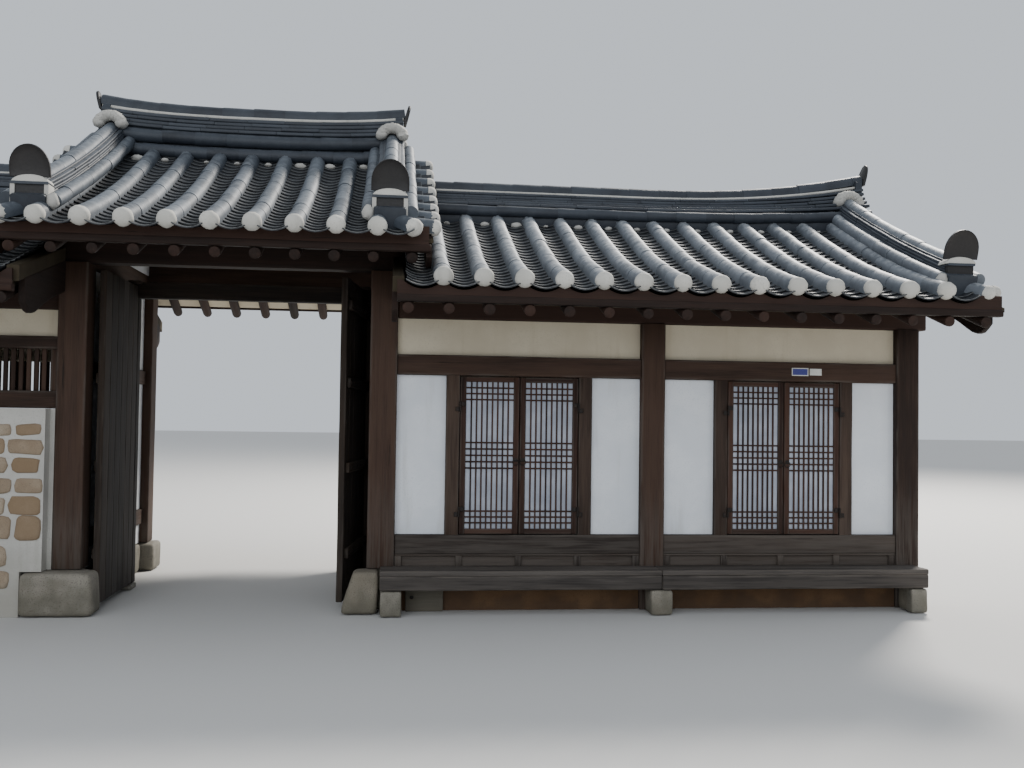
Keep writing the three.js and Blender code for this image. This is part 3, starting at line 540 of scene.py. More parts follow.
class Look(Enum):
    """Every finish of the building, by what it is used on."""

    TIMBER = TimberFinish("Aged timber", "timber", (0.017, 0.009, 0.006), (0.064, 0.036, 0.024))
    RAFTER = TimberFinish(
        "Rafter timber", "timber", (0.012, 0.006, 0.004), (0.036, 0.017, 0.011), wear=0.06
    )
    JAMB = TimberFinish("Jamb timber", "timber", (0.030, 0.018, 0.013), (0.100, 0.066, 0.047), greying=0.3)
    SILL = TimberFinish(
        "Weathered sill", "timber", (0.022, 0.016, 0.013), (0.080, 0.062, 0.050), greying=0.6, reach=1.6
    )
    DOOR = TimberFinish(
        "Door timber", "door_timber", (0.020, 0.009, 0.006), (0.066, 0.032, 0.021), greying=0.2
    )
    LEAF = TimberFinish(
        "Gate leaf timber", "door_timber", (0.009, 0.006, 0.0045), (0.036, 0.023, 0.015),
        greying=0.25, wear=0.3,
    )
    BENCH = TimberFinish(
        "Bench timber", "grey_timber", (0.034, 0.029, 0.026), (0.125, 0.110, 0.098), greying=0.4, wear=0.9
    )
    PALE_BOARD = TimberFinish(
        "Pale board", "grey_timber", (0.12, 0.108, 0.082), (0.24, 0.22, 0.175), greying=0.2, wear=0.3
    )
    PLASTER = PlasterFinish(
        "White plaster", "white_plaster", (0.72, 0.75, 0.79), (0.81, 0.835, 0.865), (0.45, 0.44, 0.40)
    )
    CREAM = PlasterFinish(
        "Cream plaster", "cream_plaster", (0.60, 0.53, 0.40), (0.68, 0.61, 0.47), (0.40, 0.32, 0.20), 0.1, 0.2
    )
    CLAY = PlasterFinish(
        "Clay daub", "clay", (0.115, 0.064, 0.032), (0.165, 0.096, 0.049), (0.07, 0.045, 0.030),
        0.25, 0.6, 0.4,
    )
    MORTAR = PlasterFinish(
        "Wall mortar", "stone_wall", (0.44, 0.425, 0.39), (0.53, 0.515, 0.475), (0.26, 0.24, 0.19),
        0.7, 0.5, 0.5,
    )
    LIME = PlasterFinish(
        "Lime plug", "roof_tile", (0.50, 0.485, 0.44), (0.64, 0.62, 0.57), (0.24, 0.23, 0.20), 0.1, 0.2, 0.9
    )
    GRANITE = StoneFinish(
        "Granite", "granite", (0.19, 0.175, 0.145), (0.30, 0.28, 0.24), (0.06, 0.055, 0.05),
        (0.21, 0.17, 0.11),
    )
    FIELDSTONE = StoneFinish(
        "Fieldstone", "stone_wall", (0.30, 0.235, 0.165), (0.41, 0.335, 0.25), (0.14, 0.115, 0.09),
        (0.23, 0.15, 0.08), warmth=0.8, size=1.6,
    )
    TILE = TileFinish("Roof tile", "roof_tile")
    # The wing rows: a paler copy of the roof tile, painted sunlight
    PALE_TILE = TileFinish(
        "Sunny roof tile", "roof_tile", (0.075, 0.088, 0.105), (0.17, 0.19, 0.215), (0.42, 0.44, 0.45),
        0.8, 0.5,
    )
    SLATE = TileFinish(
        "Ridge tile", "roof_tile", (0.014, 0.018, 0.026), (0.038, 0.047, 0.061), (0.15, 0.17, 0.19), 0.3, 0.3
    )
    # Hollow tiles darkened as painted shade between the rows, with painted highlight on their rims
    CHANNEL = TileFinish(
        "Hollow tile", "roof_tile", (0.006, 0.007, 0.010), (0.022, 0.025, 0.031), (0.33, 0.34, 0.33),
        0.04, 0.7,
    )
    # End tiles and the boxes at the foot of the slope ridges, darkened as painted shade
    DARK_TILE = TileFinish(
        "End tile", "roof_tile", (0.006, 0.005, 0.005), (0.016, 0.013, 0.012), (0.05, 0.045, 0.042),
        0.12, 0.2,
    )
    # Cream plaster darkened as painted shade, for the plaster between the rafters under the shaded eaves
    SOFFIT = PlasterFinish(
        "Soffit plaster", "cream_plaster", (0.085, 0.068, 0.046), (0.12, 0.098, 0.068), (0.05, 0.04, 0.028),
        0.1, 0.2, 0.4,
    )
    # Clay darkened as painted shade, for the bed under the tiles and the fill under the inner eaves
    EARTH = PlasterFinish(
        "Roof clay", "roof_tile", (0.034, 0.026, 0.015), (0.052, 0.040, 0.024), (0.024, 0.019, 0.013),
        0.1, 0.2, 0.6,
    )
    PAPER = PaperFinish("Door paper", "door_timber")
    IRON = PlainFinish("Dark iron", "door_timber", (0.018, 0.016, 0.015), (0.07, 0.04, 0.025), 0.6)
    BLUE_PLATE = PlainFinish("Blue plate", "timber", (0.035, 0.04, 0.22), (0.10, 0.12, 0.30))
    WHITE_PLATE = PlainFinish("White plate", "timber", (0.68, 0.68, 0.64), (0.48, 0.47, 0.42))


class Palette:
    """Every material of the building, made once."""

    def __init__(self, effects: Effects) -> None:
        """Builds the materials from their finishes."""
        self.materials = {look: look.value.material(effects) for look in Look}


# Meshes


def loft(sections: np.ndarray) -> list[np.ndarray]:
    """Faces of a closed solid through rings of points.

    Args:
        sections: Rings of equal length, shaped (rings, points, 3).

    Returns:
        The side quads and the two end polygons, as arrays of vertex numbers.
    """
    rings, around = sections.shape[:2]
    first = np.arange(rings - 1)[:, None] * around
    here, there = np.arange(around), (np.arange(around) + 1) % around
    quads = np.stack([first + here, first + there, first + around + there, first + around + here], axis=-1)
    ends = np.stack([here[::-1], (rings - 1) * around + here])
    return [quads.reshape(-1, 4), ends]


def arc(radius: float, start: float, end: float, steps: int) -> np.ndarray:
    """Points on a circle around the origin, from one angle in degrees to another."""
    turn = np.radians(np.linspace(start, end, steps + 1))
    return np.stack([radius * np.cos(turn), radius * np.sin(turn)], axis=-1)


def rod_ring(radius: float) -> np.ndarray:
    """Section of an iron rod, or of a round tile that lies against a ridge."""
    return arc(radius, 0, 337.5, 15)


def slab_ring(half: float, low: float, high: float, ease: float = 0.004) -> np.ndarray:
    """Section of a flat slab with eased corners, as [across, up] points."""
    right = [(half - ease, low), (half, low + ease), (half, high - ease), (half - ease, high)]
    return np.array(right + [(-across, up) for across, up in right[::-1]])


def laid_out(box: Box, axis: Axis) -> tuple[list[Span], list[int], list[float]]:
    """Works out how a timber lies.

    Args:
        box: Its extents in X, Y and Z.
        axis: The way that it runs.

    Returns:
        Its extents with the lower end first, its axes from its length on, and half its width and height.
    """
    spans = [tuple(sorted(span)) for span in box]
    order = [axis.value, *(i for i in range(3) if i != axis.value)]
    return spans, order, [(spans[i][1] - spans[i][0]) / 2 for i in order[1:]]


@dataclass
class Track:
    """A polyline that tiles are laid along, measured by its length from its lower end."""

    points: np.ndarray
    side: Place = (1.0, 0.0, 0.0)

    def __post_init__(self) -> None:
        """Measures the polyline."""
        steps = np.linalg.norm(np.diff(self.points, axis=0), axis=1)
        self.run = np.concatenate([[0.0], np.cumsum(steps)])
        self.length = float(self.run[-1])

    def at(self, places: list[float] | np.ndarray) -> np.ndarray:
        """Finds points along the polyline, which is carried straight on beyond its ends.

        Args:
            places: Lengths from its lower end.

        Returns:
            The points, shaped (n, 3).
        """
        places = np.asarray(places, float)
        found = np.stack([np.interp(places, self.run, self.points[:, i]) for i in range(3)], axis=-1)
        for beyond, end, inner in ((places < 0, 0, 1), (places > self.length, -1, -2)):
            way = self.points[end] - self.points[inner]
            far = np.minimum(places, 0) * -1 if end == 0 else places - self.length
            found[beyond] += (way / np.linalg.norm(way)) * far[beyond, None]
        return found


@dataclass
class Piece:
    """Collects the solids of one piece, with a grain coordinate, a tone and an edge value at each vertex."""

    name: str
    looks: list[Look]
    rng: random.Random
    mirror: tuple[int, int] = (1, 1)
    turn: Place | None = None
    points: list[np.ndarray] = field(default_factory=list)
    grains: list[np.ndarray] = field(default_factory=list)
    tones: list[np.ndarray] = field(default_factory=list)
    edges: list[np.ndarray] = field(default_factory=list)
    faces: list[np.ndarray] = field(default_factory=list)
    slots: list[np.ndarray] = field(default_factory=list)
    count: int = 0

    def add(
        self, sections: np.ndarray | list, look: Look | None = None, grain: np.ndarray | None = None,
        tone: float | None = None, edge: np.ndarray | float = 0.0,
    ) -> None:
        """Adds one closed solid through rings of points and turns its faces outwards.

        Args:
            sections: The rings, shaped (rings, points, 3).
            look: Its finish, or None for the piece's first.
            grain: A coordinate along and across the grain, or None for the place itself.
            tone: Its shade between 0 and 1, or None for a random one.
            edge: How rubbed each point is, from 0 to 1.
        """
        sections = np.asarray(sections)
        faces = loft(sections)
        points = self.placed(sections.reshape(-1, 3))
        volume = 0.0
        for block in faces:
            corners = points[block]
            crossed = np.cross(corners, np.roll(corners, -1, axis=1)).sum(axis=1)
            volume += float((corners[:, 0] * crossed).sum())
        slot = self.looks.index(look or self.looks[0])
        for block in faces:
            self.faces.append((block if volume > 0 else block[:, ::-1]) + self.count)
            self.slots.append(np.full(len(block), slot))
        shift = np.array([self.rng.uniform(0, 40) for _ in range(3)])
        self.points.append(points)
        self.grains.append((points if grain is None else grain.reshape(-1, 3)) + shift)
        self.tones.append(np.full(len(points), self.rng.random() if tone is None else tone))
        self.edges.append(np.broadcast_to(np.asarray(edge, float).ravel(), (len(points),)))
        self.count += len(points)

    def placed(self, points: np.ndarray) -> np.ndarray:
        """Mirrors points, and turns them about an upright axis where the piece has one.

        Args:
            points: The points as they are drawn.

        Returns:
            The points where they stand.
        """
        points = points * np.array([*self.mirror, 1])
        if self.turn is None:
            return points
        x, y, degrees = self.turn
        c, s = math.cos(math.radians(degrees)), math.sin(math.radians(degrees))
        u, v, z = (points - [x, y, 0]).T
        return np.stack([x + c * u - s * v, y + s * u + c * v, z], axis=-1)

    def build(self, palette: Palette, body: str = "root", sharp: float = 50.0) -> bpy.types.Object:
        """Makes the Blender object and lets it ride on its body.

        Args:
            palette: The building's materials.
            body: The moving body that carries the piece.
            sharp: Edges that turn more than this many degrees stay sharp.

        Returns:
            The finished object.
        """
        mesh = bpy.data.meshes.new(self.name)
        places = np.concatenate(self.points).astype(np.float32)
        mesh.vertices.add(len(places))
        mesh.vertices.foreach_set("co", places.ravel())
        corners = np.concatenate([block.ravel() for block in self.faces])
        sizes = np.concatenate([np.full(len(block), block.shape[1]) for block in self.faces])
        mesh.loops.add(len(corners))
        mesh.loops.foreach_set("vertex_index", corners.astype(np.int32))
        mesh.polygons.add(len(sizes))
        mesh.polygons.foreach_set("loop_start", np.concatenate([[0], np.cumsum(sizes)[:-1]]).astype(np.int32))
        mesh.polygons.foreach_set("material_index", np.concatenate(self.slots).astype(np.int32))
        mesh.update(calc_edges=True)
        grain = mesh.attributes.new("grain", "FLOAT_VECTOR", "POINT")
        grain.data.foreach_set("vector", np.concatenate(self.grains).astype(np.float32).ravel())
        for name, values in (("tone", self.tones), ("edge", self.edges)):
            stored = mesh.attributes.new(name, "FLOAT", "POINT")
            stored.data.foreach_set("value", np.concatenate(values).astype(np.float32))
        mesh.validate()
        mesh.shade_smooth()
        mesh.set_sharp_from_angle(angle=math.radians(sharp))
        for look in self.looks:
            mesh.materials.append(palette.materials[look])
        made = bpy.data.objects.new(self.name, mesh)
        bpy.context.scene.collection.objects.link(made)
        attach(made, body)
        log.info("%s: %d triangles", self.name, int((sizes - 2).sum()))
        return made

    def timber(
        self, xs: Span, ys: Span, zs: Span, axis: Axis, look: Look | None = None, ease: float = 0.006,
        wander: float = 0.0015,
    ) -> None:
        """Adds a squared timber with eased edges and slightly uneven faces.

        Args:
            xs: Its extent in X.
            ys: Its extent in Y.
            zs: Its extent in Z.
            axis: The way its grain runs.
            look: Its finish.
            ease: The width of its eased edges.
            wander: How far its faces stray from true.
        """
        spans, (along, wide, high), half = laid_out((xs, ys, zs), axis)
        centre = [(spans[i][1] + spans[i][0]) / 2 for i in (wide, high)]
        ease = min(ease, 0.3 * min(half))
        ring, edge = eased_ring(half[0], half[1], ease)
        start, end = spans[along]
        inside = max(2, int((end - start) / 0.3) + 1)
        stops = [start, *np.linspace(start + ease, end - ease, inside), end]
        sections = np.zeros((len(stops), len(ring), 3))
        for i, stop in enumerate(stops):
            tip = i in (0, len(stops) - 1)
            shrink = [1 - ease / h if tip else 1.0 for h in half]
            stray = [0.0 if tip or inside < 3 else self.rng.uniform(-wander, wander) for _ in half]
            sections[i, :, along] = stop
            sections[i, :, wide] = centre[0] + ring[:, 0] * shrink[0] + stray[0]
            sections[i, :, high] = centre[1] + ring[:, 1] * shrink[1] + stray[1]
        rubbed = np.tile(edge, (len(stops), 1))
        rubbed[[0, -1]] = 1.0
        self.add(sections, look, sections[:, :, [along, wide, high]], edge=rubbed)

    def slat(self, xs: Span, ys: Span, zs: Span, axis: Axis, look: Look | None = None) -> None:
        """Adds a thin bar with cut corners, such as one of a lattice.

        Args:
            xs: Its extent in X.
            ys: Its extent in Y.
            zs: Its extent in Z.
            axis: The way that it runs.
            look: Its finish.
        """
        spans, (along, wide, high), half = laid_out((xs, ys, zs), axis)
        ease = 0.2 * min(half)
        ring = slab_ring(half[0], -half[1], half[1], ease)
        sections = np.zeros((2, len(ring), 3))
        sections[:, :, along] = np.array(spans[along])[:, None]
        sections[:, :, wide] = ring[:, 0] + (spans[wide][0] + half[0])
        sections[:, :, high] = ring[:, 1] + (spans[high][0] + half[1])
        self.add(sections, look, sections[:, :, [along, wide, high]])

    def sweep(
        self, path: np.ndarray, ring: np.ndarray, look: Look | None = None, side: Place = (1.0, 0.0, 0.0),
        scale: np.ndarray | float = 1.0, tone: float | None = None, edge: np.ndarray | float = 0.0,
    ) -> None:
        """Adds a solid of one section that follows a path.

        Args:
            path: The points that it follows, shaped (n, 3).
            ring: The section as [across, up] points.
            look: Its finish.
            side: The direction of across.
            scale: The section's size at each point of the path.
            tone: Its shade.
            edge: How rubbed each point of the path is, or each point of each ring.
        """
        across = np.array(side)
        ahead = np.gradient(path, axis=0)
        ahead /= np.linalg.norm(ahead, axis=1)[:, None]
        up = np.cross(ahead, across)
        up /= np.linalg.norm(up, axis=1)[:, None]
        up *= np.where(up[:, 2:] < 0, -1.0, 1.0)
        sizes = np.broadcast_to(np.asarray(scale, float), (len(path),))[:, None, None]
        flat = ring[None, :, 0:1] * across + ring[None, :, 1:2] * up[:, None, :]
        sections = path[:, None, :] + flat * sizes
        run = np.concatenate([[0], np.cumsum(np.linalg.norm(np.diff(path, axis=0), axis=1))])
        around = len(ring)
        grain = np.stack([np.repeat(run, around), *(np.tile(ring[:, i], len(path)) for i in (0, 1))], axis=-1)
        edge = np.asarray(edge, float)
        if edge.ndim < 2:
            edge = np.repeat(np.broadcast_to(edge, (len(path),)), around)
        self.add(sections, look, grain, tone, edge)

    def plank(
        self, stops: np.ndarray, low: np.ndarray, high: np.ndarray, xs: Span, look: Look | None = None
    ) -> None:
        """Adds a board that stands on edge along Y, with a lower and an upper edge of its own.

        Args:
            stops: The places along Y.
            low: The height of its lower edge at each place.
            high: The height of its upper edge at each place.
            xs: Its two faces.
            look: Its finish.
        """
        middle, half = sum(xs) / 2, abs(xs[1] - xs[0]) / 2
        sections = np.zeros((len(stops), 16, 3))
        for i, (y, z0, z1) in enumerate(zip(stops, low, high)):
            ring, edge = eased_ring(half, max(0.006, (z1 - z0) / 2), 0.005)
            sections[i, :, 0] = middle + ring[:, 0]
            sections[i, :, 1] = y
            sections[i, :, 2] = (z0 + z1) / 2 + ring[:, 1]
        self.add(sections, look, sections[:, :, [1, 0, 2]], edge=np.tile(edge, len(stops)))

    def rock(self, block: Box, lean: float = 0.0, rough: float = 0.012) -> None:
        """Adds a rough block of stone with rounded corners and an uneven surface.

        Args:
            block: Its extents in X, Y and Z.
            lean: How far the top of its inner side leans outwards.
            rough: How deep its hollows are.
        """
        spans = [tuple(sorted(span)) for span in block]
        half = np.array([(b - a) / 2 for a, b in spans])
        centre = np.array([(a + b) / 2 for a, b in spans])
        turn = np.linspace(0, 2 * math.pi, 29)[:-1]
        power = 0.28
        ring = np.stack([np.sign(f(turn)) * np.abs(f(turn)) ** power for f in (np.cos, np.sin)], axis=-1)
        fall = np.array([0.35, 0.70, 0.90, 0.97, 1.0, 1.0, 1.0, 1.0, 1.0, 0.97, 0.90, 0.70, 0.35])
        place = np.array([-1.0, -0.995, -0.96, -0.88, -0.7, -0.4, 0.0, 0.4, 0.7, 0.88, 0.96, 0.995, 1.0])
        sections = np.zeros((len(fall), len(ring), 3))
        sections[:, :, 0] = (place * half[0])[:, None]
        sections[:, :, 1:] = ring[None] * fall[:, None, None] * half[1:]
        points = sections.reshape(-1, 3) + centre
        shift = Vector([self.rng.uniform(0, 50) for _ in range(3)])
        inwards = (centre - points) / half
        for i, point in enumerate(points):
            depth = 0.5 + 0.5 * noise.fractal(Vector(point) * 6 + shift, 0.8, 2.0, 4)
            points[i] = point + np.sign(inwards[i]) * np.abs(inwards[i]) ** 2 * rough * max(0.0, depth)
        lowest, highest = ([span[i] for span in spans] for i in (0, 1))
        share = (points - lowest) / (np.array(highest) - lowest)
        points[:, 0] += lean * share[:, 2] * (1 - share[:, 0])
        self.add(np.clip(points, lowest, highest).reshape(sections.shape))


def eased_ring(half_wide: float, half_high: float, ease: float) -> tuple[np.ndarray, np.ndarray]:
    """Section of a squared timber with cut corners.

    Args:
        half_wide: Half its width.
        half_high: Half its height.
        ease: How far each corner is cut.

    Returns:
        The ring's points, and 1 at the cut corners and 0 beside them.
    """
    inset = min(4 * ease, 0.8 * min(half_wide, half_high))
    corner = [(0, inset), (0, ease), (ease, 0), (inset, 0)]
    ring = []
    for sx, sy, order in ((1, 1, corner), (-1, 1, corner[::-1]), (-1, -1, corner), (1, -1, corner[::-1])):
        ring += [(sx * (half_wide - a), sy * (half_high - b)) for a, b in order]
    return np.array(ring), np.array([0.0, 1.0, 1.0, 0.0] * 4)


# Tiles


class Tiler:
    """Lays round and flat tiles along tracks, as one piece after another needs them."""

    ROUND = 0.072
    ROUND_LENGTH = 0.30
    LAP = 0.004

    def __init__(self, piece: Piece) -> None:
        """Keeps the piece that the tiles go into."""
        self.piece = piece

    @staticmethod
    def half_round(radius: float) -> np.ndarray:
        """Section of a round tile with short straight sides."""
        foot = [[-radius, -0.55 * radius], [radius, -0.55 * radius]]
        return np.concatenate([arc(radius, 0, 180, 12), foot])

    @staticmethod
    def joints(track: Track, length: float, start: float) -> list[Span]:
        """The two ends of each tile along a track. The last tile takes up what is left."""
        stops = [0.0, *np.arange(length - start, track.length - 0.3 * length, length), track.length]
        return list(zip(stops, stops[1:]))

    def lay_round(
        self, track: Track, ring: np.ndarray, look: Look = Look.SLATE, length: float = ROUND_LENGTH,
        start: float = 0.0,
    ) -> None:
        """Lays round tiles up a track, each over the end of the one before.

        Args:
            track: Where their axis runs, from the lower end.
            ring: Their section.
            look: Their finish.
            length: The length of one tile.
            start: How far the first tile is cut short.
        """
        rng = self.piece.rng
        for low, high in self.joints(track, length, start):
            places = [low - self.LAP, low + 0.012, (low + high) / 2, high]
            path = track.at(places) + [rng.uniform(-0.003, 0.003) for _ in range(3)]
            scale = np.array([0.975, 1.0, 0.985, 0.95]) + rng.uniform(-0.012, 0.012)
            # The lower lip of each tile gets an edge value, which the tile finish lightens as painted
            # highlight
            self.piece.sweep(path, ring, look, track.side, scale, edge=np.array([0.6, 0.1, 0.0, 0.0]))

    def lay_slabs(
        self, track: Track, half: float, thick: float, length: float = 0.36, start: float = 0.0
    ) -> None:
        """Lays one course of flat tiles along a ridge.

        Args:
            track: Where their underside runs.
            half: Half their width across the ridge.
            thick: Their thickness.
            length: The length of one tile.
            start: How far the first tile is cut short.
        """
        rng = self.piece.rng
        for low, high in self.joints(track, length, start):
            path = track.at(np.linspace(low + 0.0015, high - 0.0015, 4))
            path = path + np.array(track.side) * rng.uniform(-0.005, 0.005)
            path = path + [0, 0, rng.uniform(-0.002, 0.002)]
            ring = slab_ring(half * rng.uniform(0.98, 1.02), 0, thick)
            # The edge value lightens each slab a little through the painted rim highlight
            self.piece.sweep(path, ring, Look.SLATE, track.side, edge=0.75)

    def lay_channel(
        self, track: Track, half: float = 0.125, sag: float = 0.042, thick: float = 0.012, step: float = 0.108
    ) -> None:
        """Lays lapped hollow tiles up a track, each with its lower rim standing on the one below.

        Args:
            track: The middle of their upper face, from the eave up.
            half: Half their width.
            sag: How deep they are hollowed.
            thick: Their thickness.
            step: How much of each tile shows.
        """
        rng = self.piece.rng
        top = np.linspace(-half, half, 7)
        top = np.stack([top, sag * (top / half) ** 2], axis=-1)
        ring = np.concatenate([top, top[::-1] - [0, thick]])
        lift, length = 1.9 * thick, 1.6 * step
        # The lower rims get an edge value, which the tile finish lightens as painted highlight
        rims = np.outer([1.0, 0.4, 0.0, 0.0], [1.0] * 7 + [0.35] * 7)
        for place in np.arange(0, track.length - 0.2 * step, step):
            low = place + rng.uniform(-0.004, 0.004)
            high = min(low + length, track.length + 0.02)
            path = track.at([low, low + 0.01, low + 0.03, high])
            path += np.array(track.side) * rng.uniform(-0.005, 0.005)
            path[:, 2] += [lift, lift * 0.96, lift * 0.86, -0.004]
            self.piece.sweep(path, ring, Look.CHANNEL, track.side, edge=rims)

    def plug(self, tip: np.ndarray, ahead: np.ndarray, side: Place, radius: float) -> None:
        """Closes the lower end of a round row with a dome of lime mortar.

        Args:
            tip: The end of the row's axis.
            ahead: The direction out of the row.
            side: The direction across the row.
            radius: The row's radius.
        """
        rng = self.piece.rng
        radius *= rng.uniform(0.99, 1.05)
        ring = np.concatenate([arc(radius, -25, 205, 14), arc(radius * 0.94, 225, 315, 4)])
        ring *= 1 + 0.03 * np.array([[rng.uniform(-1, 1)] for _ in ring])
        depths = np.array([-0.02, 0.0, 0.018, 0.035, 0.046, 0.052])
        scale = np.array([1.0, 1.03, 1.0, 0.80, 0.50, 0.15])
        path = tip + np.outer(depths, ahead / np.linalg.norm(ahead))
        path -= np.outer(np.maximum(depths, 0) * 0.25, [0, 0, 1])
        self.piece.sweep(path, ring, Look.LIME, side, scale, tone=rng.random())

    def lump(self, centre: Place, size: Place, look: Look = Look.MORTAR) -> None:
        """Adds an uneven lump of mortar, or the rounded end of a row.

        Args:
            centre: Its middle.
            size: Half its length, width and height.
            look: Its finish.
        """
        rng = self.piece.rng
        rings = np.radians(np.linspace(-80, 80, 9))
        turn = np.linspace(0, 2 * math.pi, 15)[:-1]
        ball = np.array([
            [(math.cos(a) * math.cos(t), math.cos(a) * math.sin(t), math.sin(a)) for t in turn] for a in rings
        ])
        bumps = np.array([[[rng.uniform(-1, 1)] for _ in turn] for _ in rings])
        self.piece.add(ball * (1 + 0.11 * bumps) * size + centre, look)

    def end_plate(
        self, foot: Place, half: float, tall: float, out: Span, lean: float = 0.3
    ) -> None:
        """Adds the upright end tile of a ridge: round-topped, hollowed in front and leaning outwards.

        Args:
            foot: The middle of its lower edge.
            half: Half its width.
            tall: Its height.
            out: The level direction that it faces.
            lean: How far it leans, in radians.
        """
        shoulder = 0.3 * tall
        turn = np.radians(np.linspace(0, 180, 17))
        top = np.stack([half * np.cos(turn), shoulder + (tall - shoulder) * np.sin(turn)], axis=-1)
        outline = np.concatenate([[(half, 0.0)], top, [(-half, 0.0)]])
        middle = np.array([0.0, 0.45 * tall])
        relief = [
            (0.96, -0.012), (1.0, -0.008), (1.0, 0.010), (0.96, 0.014), (0.90, 0.008), (0.55, -0.001),
            (0.1, -0.003),
        ]
        facing = np.array([*out, 0.0])
        across = np.array([-out[1], out[0], 0.0])
        up = facing * math.sin(lean) + np.array([0, 0, math.cos(lean)])
        ahead = facing * math.cos(lean) - np.array([0, 0, math.sin(lean)])
        sections = []
        for scale, depth in relief:
            ring = middle + (outline - middle) * scale
            flat = np.array(foot) + np.outer(ring[:, 0], across) + np.outer(ring[:, 1], up)
            sections.append(flat + depth * ahead)
        # Its dark finish is painted shade
        self.piece.add(sections, Look.DARK_TILE, edge=0.1)


@dataclass(frozen=True)
class Roof:
    """Sizes of one gable roof. Places are given on its right-hand front, and the other sides mirror them."""

    eave: float
    slope: float
    curve: float
    rafter_line: tuple[Span, Span, Span]
    lift_height: float
    lift_from: float
    lift_to: float
    lift_power: float
    rows: tuple[float, ...]
    channels: tuple[float, ...]
    rafters: tuple[float, ...]
    tile_x: Span
    deck_x: Span
    eave_board_x: Span
    board_drop: float
    hip: float
    row_top: float
    both_ends: bool
    row_look: Look
    row_kick: float
    # Finish between the rafters: plaster in painted shade, or plain cream on the gate's rear slope
    soffit: Look = Look.SOFFIT
    channel_depth: float = 0.112
    eave_y: float = 2.52
    rafter_radius: float = 0.052

    @property
    def ends(self) -> tuple[int, ...]:
        """The ends that have a gable, as signs of X."""
        return (1, -1) if self.both_ends else (1,)

    def lift(self, x: float, y: float) -> float:
        """How far the roof is raised at a place near its gable."""
        share = max(0.0, (abs(x) - self.lift_from) / (self.lift_to - self.lift_from))
        return self.lift_height * share**self.lift_power * max(0.0, 1 - abs(y) / self.eave_y)

    def crest(self, x: float, y: float) -> float:
        """Height of the top of the tile rows at a place."""
        run = self.eave_y - abs(y)
        return self.eave + self.slope * run + self.curve * run * run + self.lift(x, y)

    def underside(self, y: float) -> float:
        """Finds the height of the underside of the rafters.

        Args:
            y: The distance from the ridge line.

        Returns:
            The height above the ground.
        """
        tip, wall, peak = self.rafter_line
        outer, inner = (tip, wall) if y > wall[0] else (wall, peak)
        return inner[1] + (outer[1] - inner[1]) * (y - inner[0]) / (outer[0] - inner[0])

    def down(self, x: float, lower: float, upper: float, below: float, steps: int = 16) -> np.ndarray:
        """Points up the slope at one x, from the lower end, at a depth below the crest."""
        return np.array([(x, y, self.crest(x, y) - below) for y in np.linspace(lower, upper, steps + 1)])

    def board(self, piece: Piece, xs: Span, upper: float, under_crest: float, whole: bool = False) -> None:
        """Adds a gable board with a curved tail at the eave.

        Args:
            piece: What it goes into.
            xs: Its two faces.
            upper: Where it ends near the ridge, from the ridge line.
            under_crest: How far its upper edge lies below the crest.
            whole: Whether it runs over the ridge line to the other eave.
        """
        away = [2.275, 2.262, 2.23, 2.18, 2.12, 2.04, 1.95, 1.85, 1.7, 1.55, 1.4, 1.2, 0.9, 0.6, 0.3]
        away = [y for y in away if y > upper] + [upper]
        away = np.array(away + [-y for y in away[-2::-1]] if whole else away)
        tail_y = [1.6, 1.78, 1.95, 2.05, 2.15, 2.20, 2.25, 2.275]
        tail = np.interp(np.abs(away), tail_y, [0, 0.004, 0.03, 0.042, 0.03, -0.01, -0.06, -0.09])
        low = np.array([self.crest(0.0, y) for y in away]) - self.board_drop - tail
        high = np.array([self.crest(xs[0], y) for y in away]) - under_crest
        piece.plank(away, low, high, xs)


def spaced(start: float, pitch: float, count: int) -> tuple[float, ...]:
    """Evenly spaced places."""
    return tuple(start + pitch * i for i in range(count))


GATE_ROOF = Roof(
    eave=3.155, slope=0.36, curve=0.0372,
    rafter_line=((2.29, 2.87), (1.2, 3.33), (0.0, 3.85)),
    lift_height=0.06, lift_from=0.0, lift_to=1.745, lift_power=2.6,
    rows=spaced(-1.244, 0.311, 9), channels=(-1.40, *spaced(-1.0885, 0.311, 8), 1.40),
    rafters=spaced(-1.487, 0.30, 11), tile_x=(-1.735, 1.735), deck_x=(-1.615, 1.615),
    eave_board_x=(-1.66, 1.66), board_drop=0.40, hip=1.335, row_top=0.20, both_ends=True,
    row_look=Look.TILE, row_kick=0.03,
)
WING_ROOF = Roof(
    eave=2.775, slope=0.32, curve=0.0357,
    rafter_line=((2.42, 2.47), (1.2, 2.90), (0.0, 3.36)),
    lift_height=0.08, lift_from=3.7, lift_to=6.25, lift_power=2.0,
    rows=spaced(1.752, 0.313, 14), channels=(*spaced(1.595, 0.313, 14), 5.972),
    rafters=spaced(1.487, 0.3135, 16), tile_x=(1.455, 6.41), deck_x=(1.455, 6.285),
    eave_board_x=(1.40, 6.33), board_drop=0.42, hip=6.03, row_top=0.27, both_ends=False,
    row_look=Look.PALE_TILE, row_kick=0.045,
)
GATE_REAR = replace(
    GATE_ROOF, rafter_line=((2.40, 2.824), (1.2, 3.33), (0.0, 3.85)), rafters=spaced(-1.525, 0.343, 10),
    rafter_radius=0.058, soffit=Look.CREAM,
)
INNER_LINE = replace(WING_ROOF, eave=2.62, slope=0.283, curve=0.0, lift_height=0.0, board_drop=0.265)
INNER_EAVE = (1.365, 1.455)
POST_CLEAR = 1.33


@dataclass
class Maker:
    """What every maker of pieces holds: the materials and the source of all small differences."""

    palette: Palette
    rng: random.Random


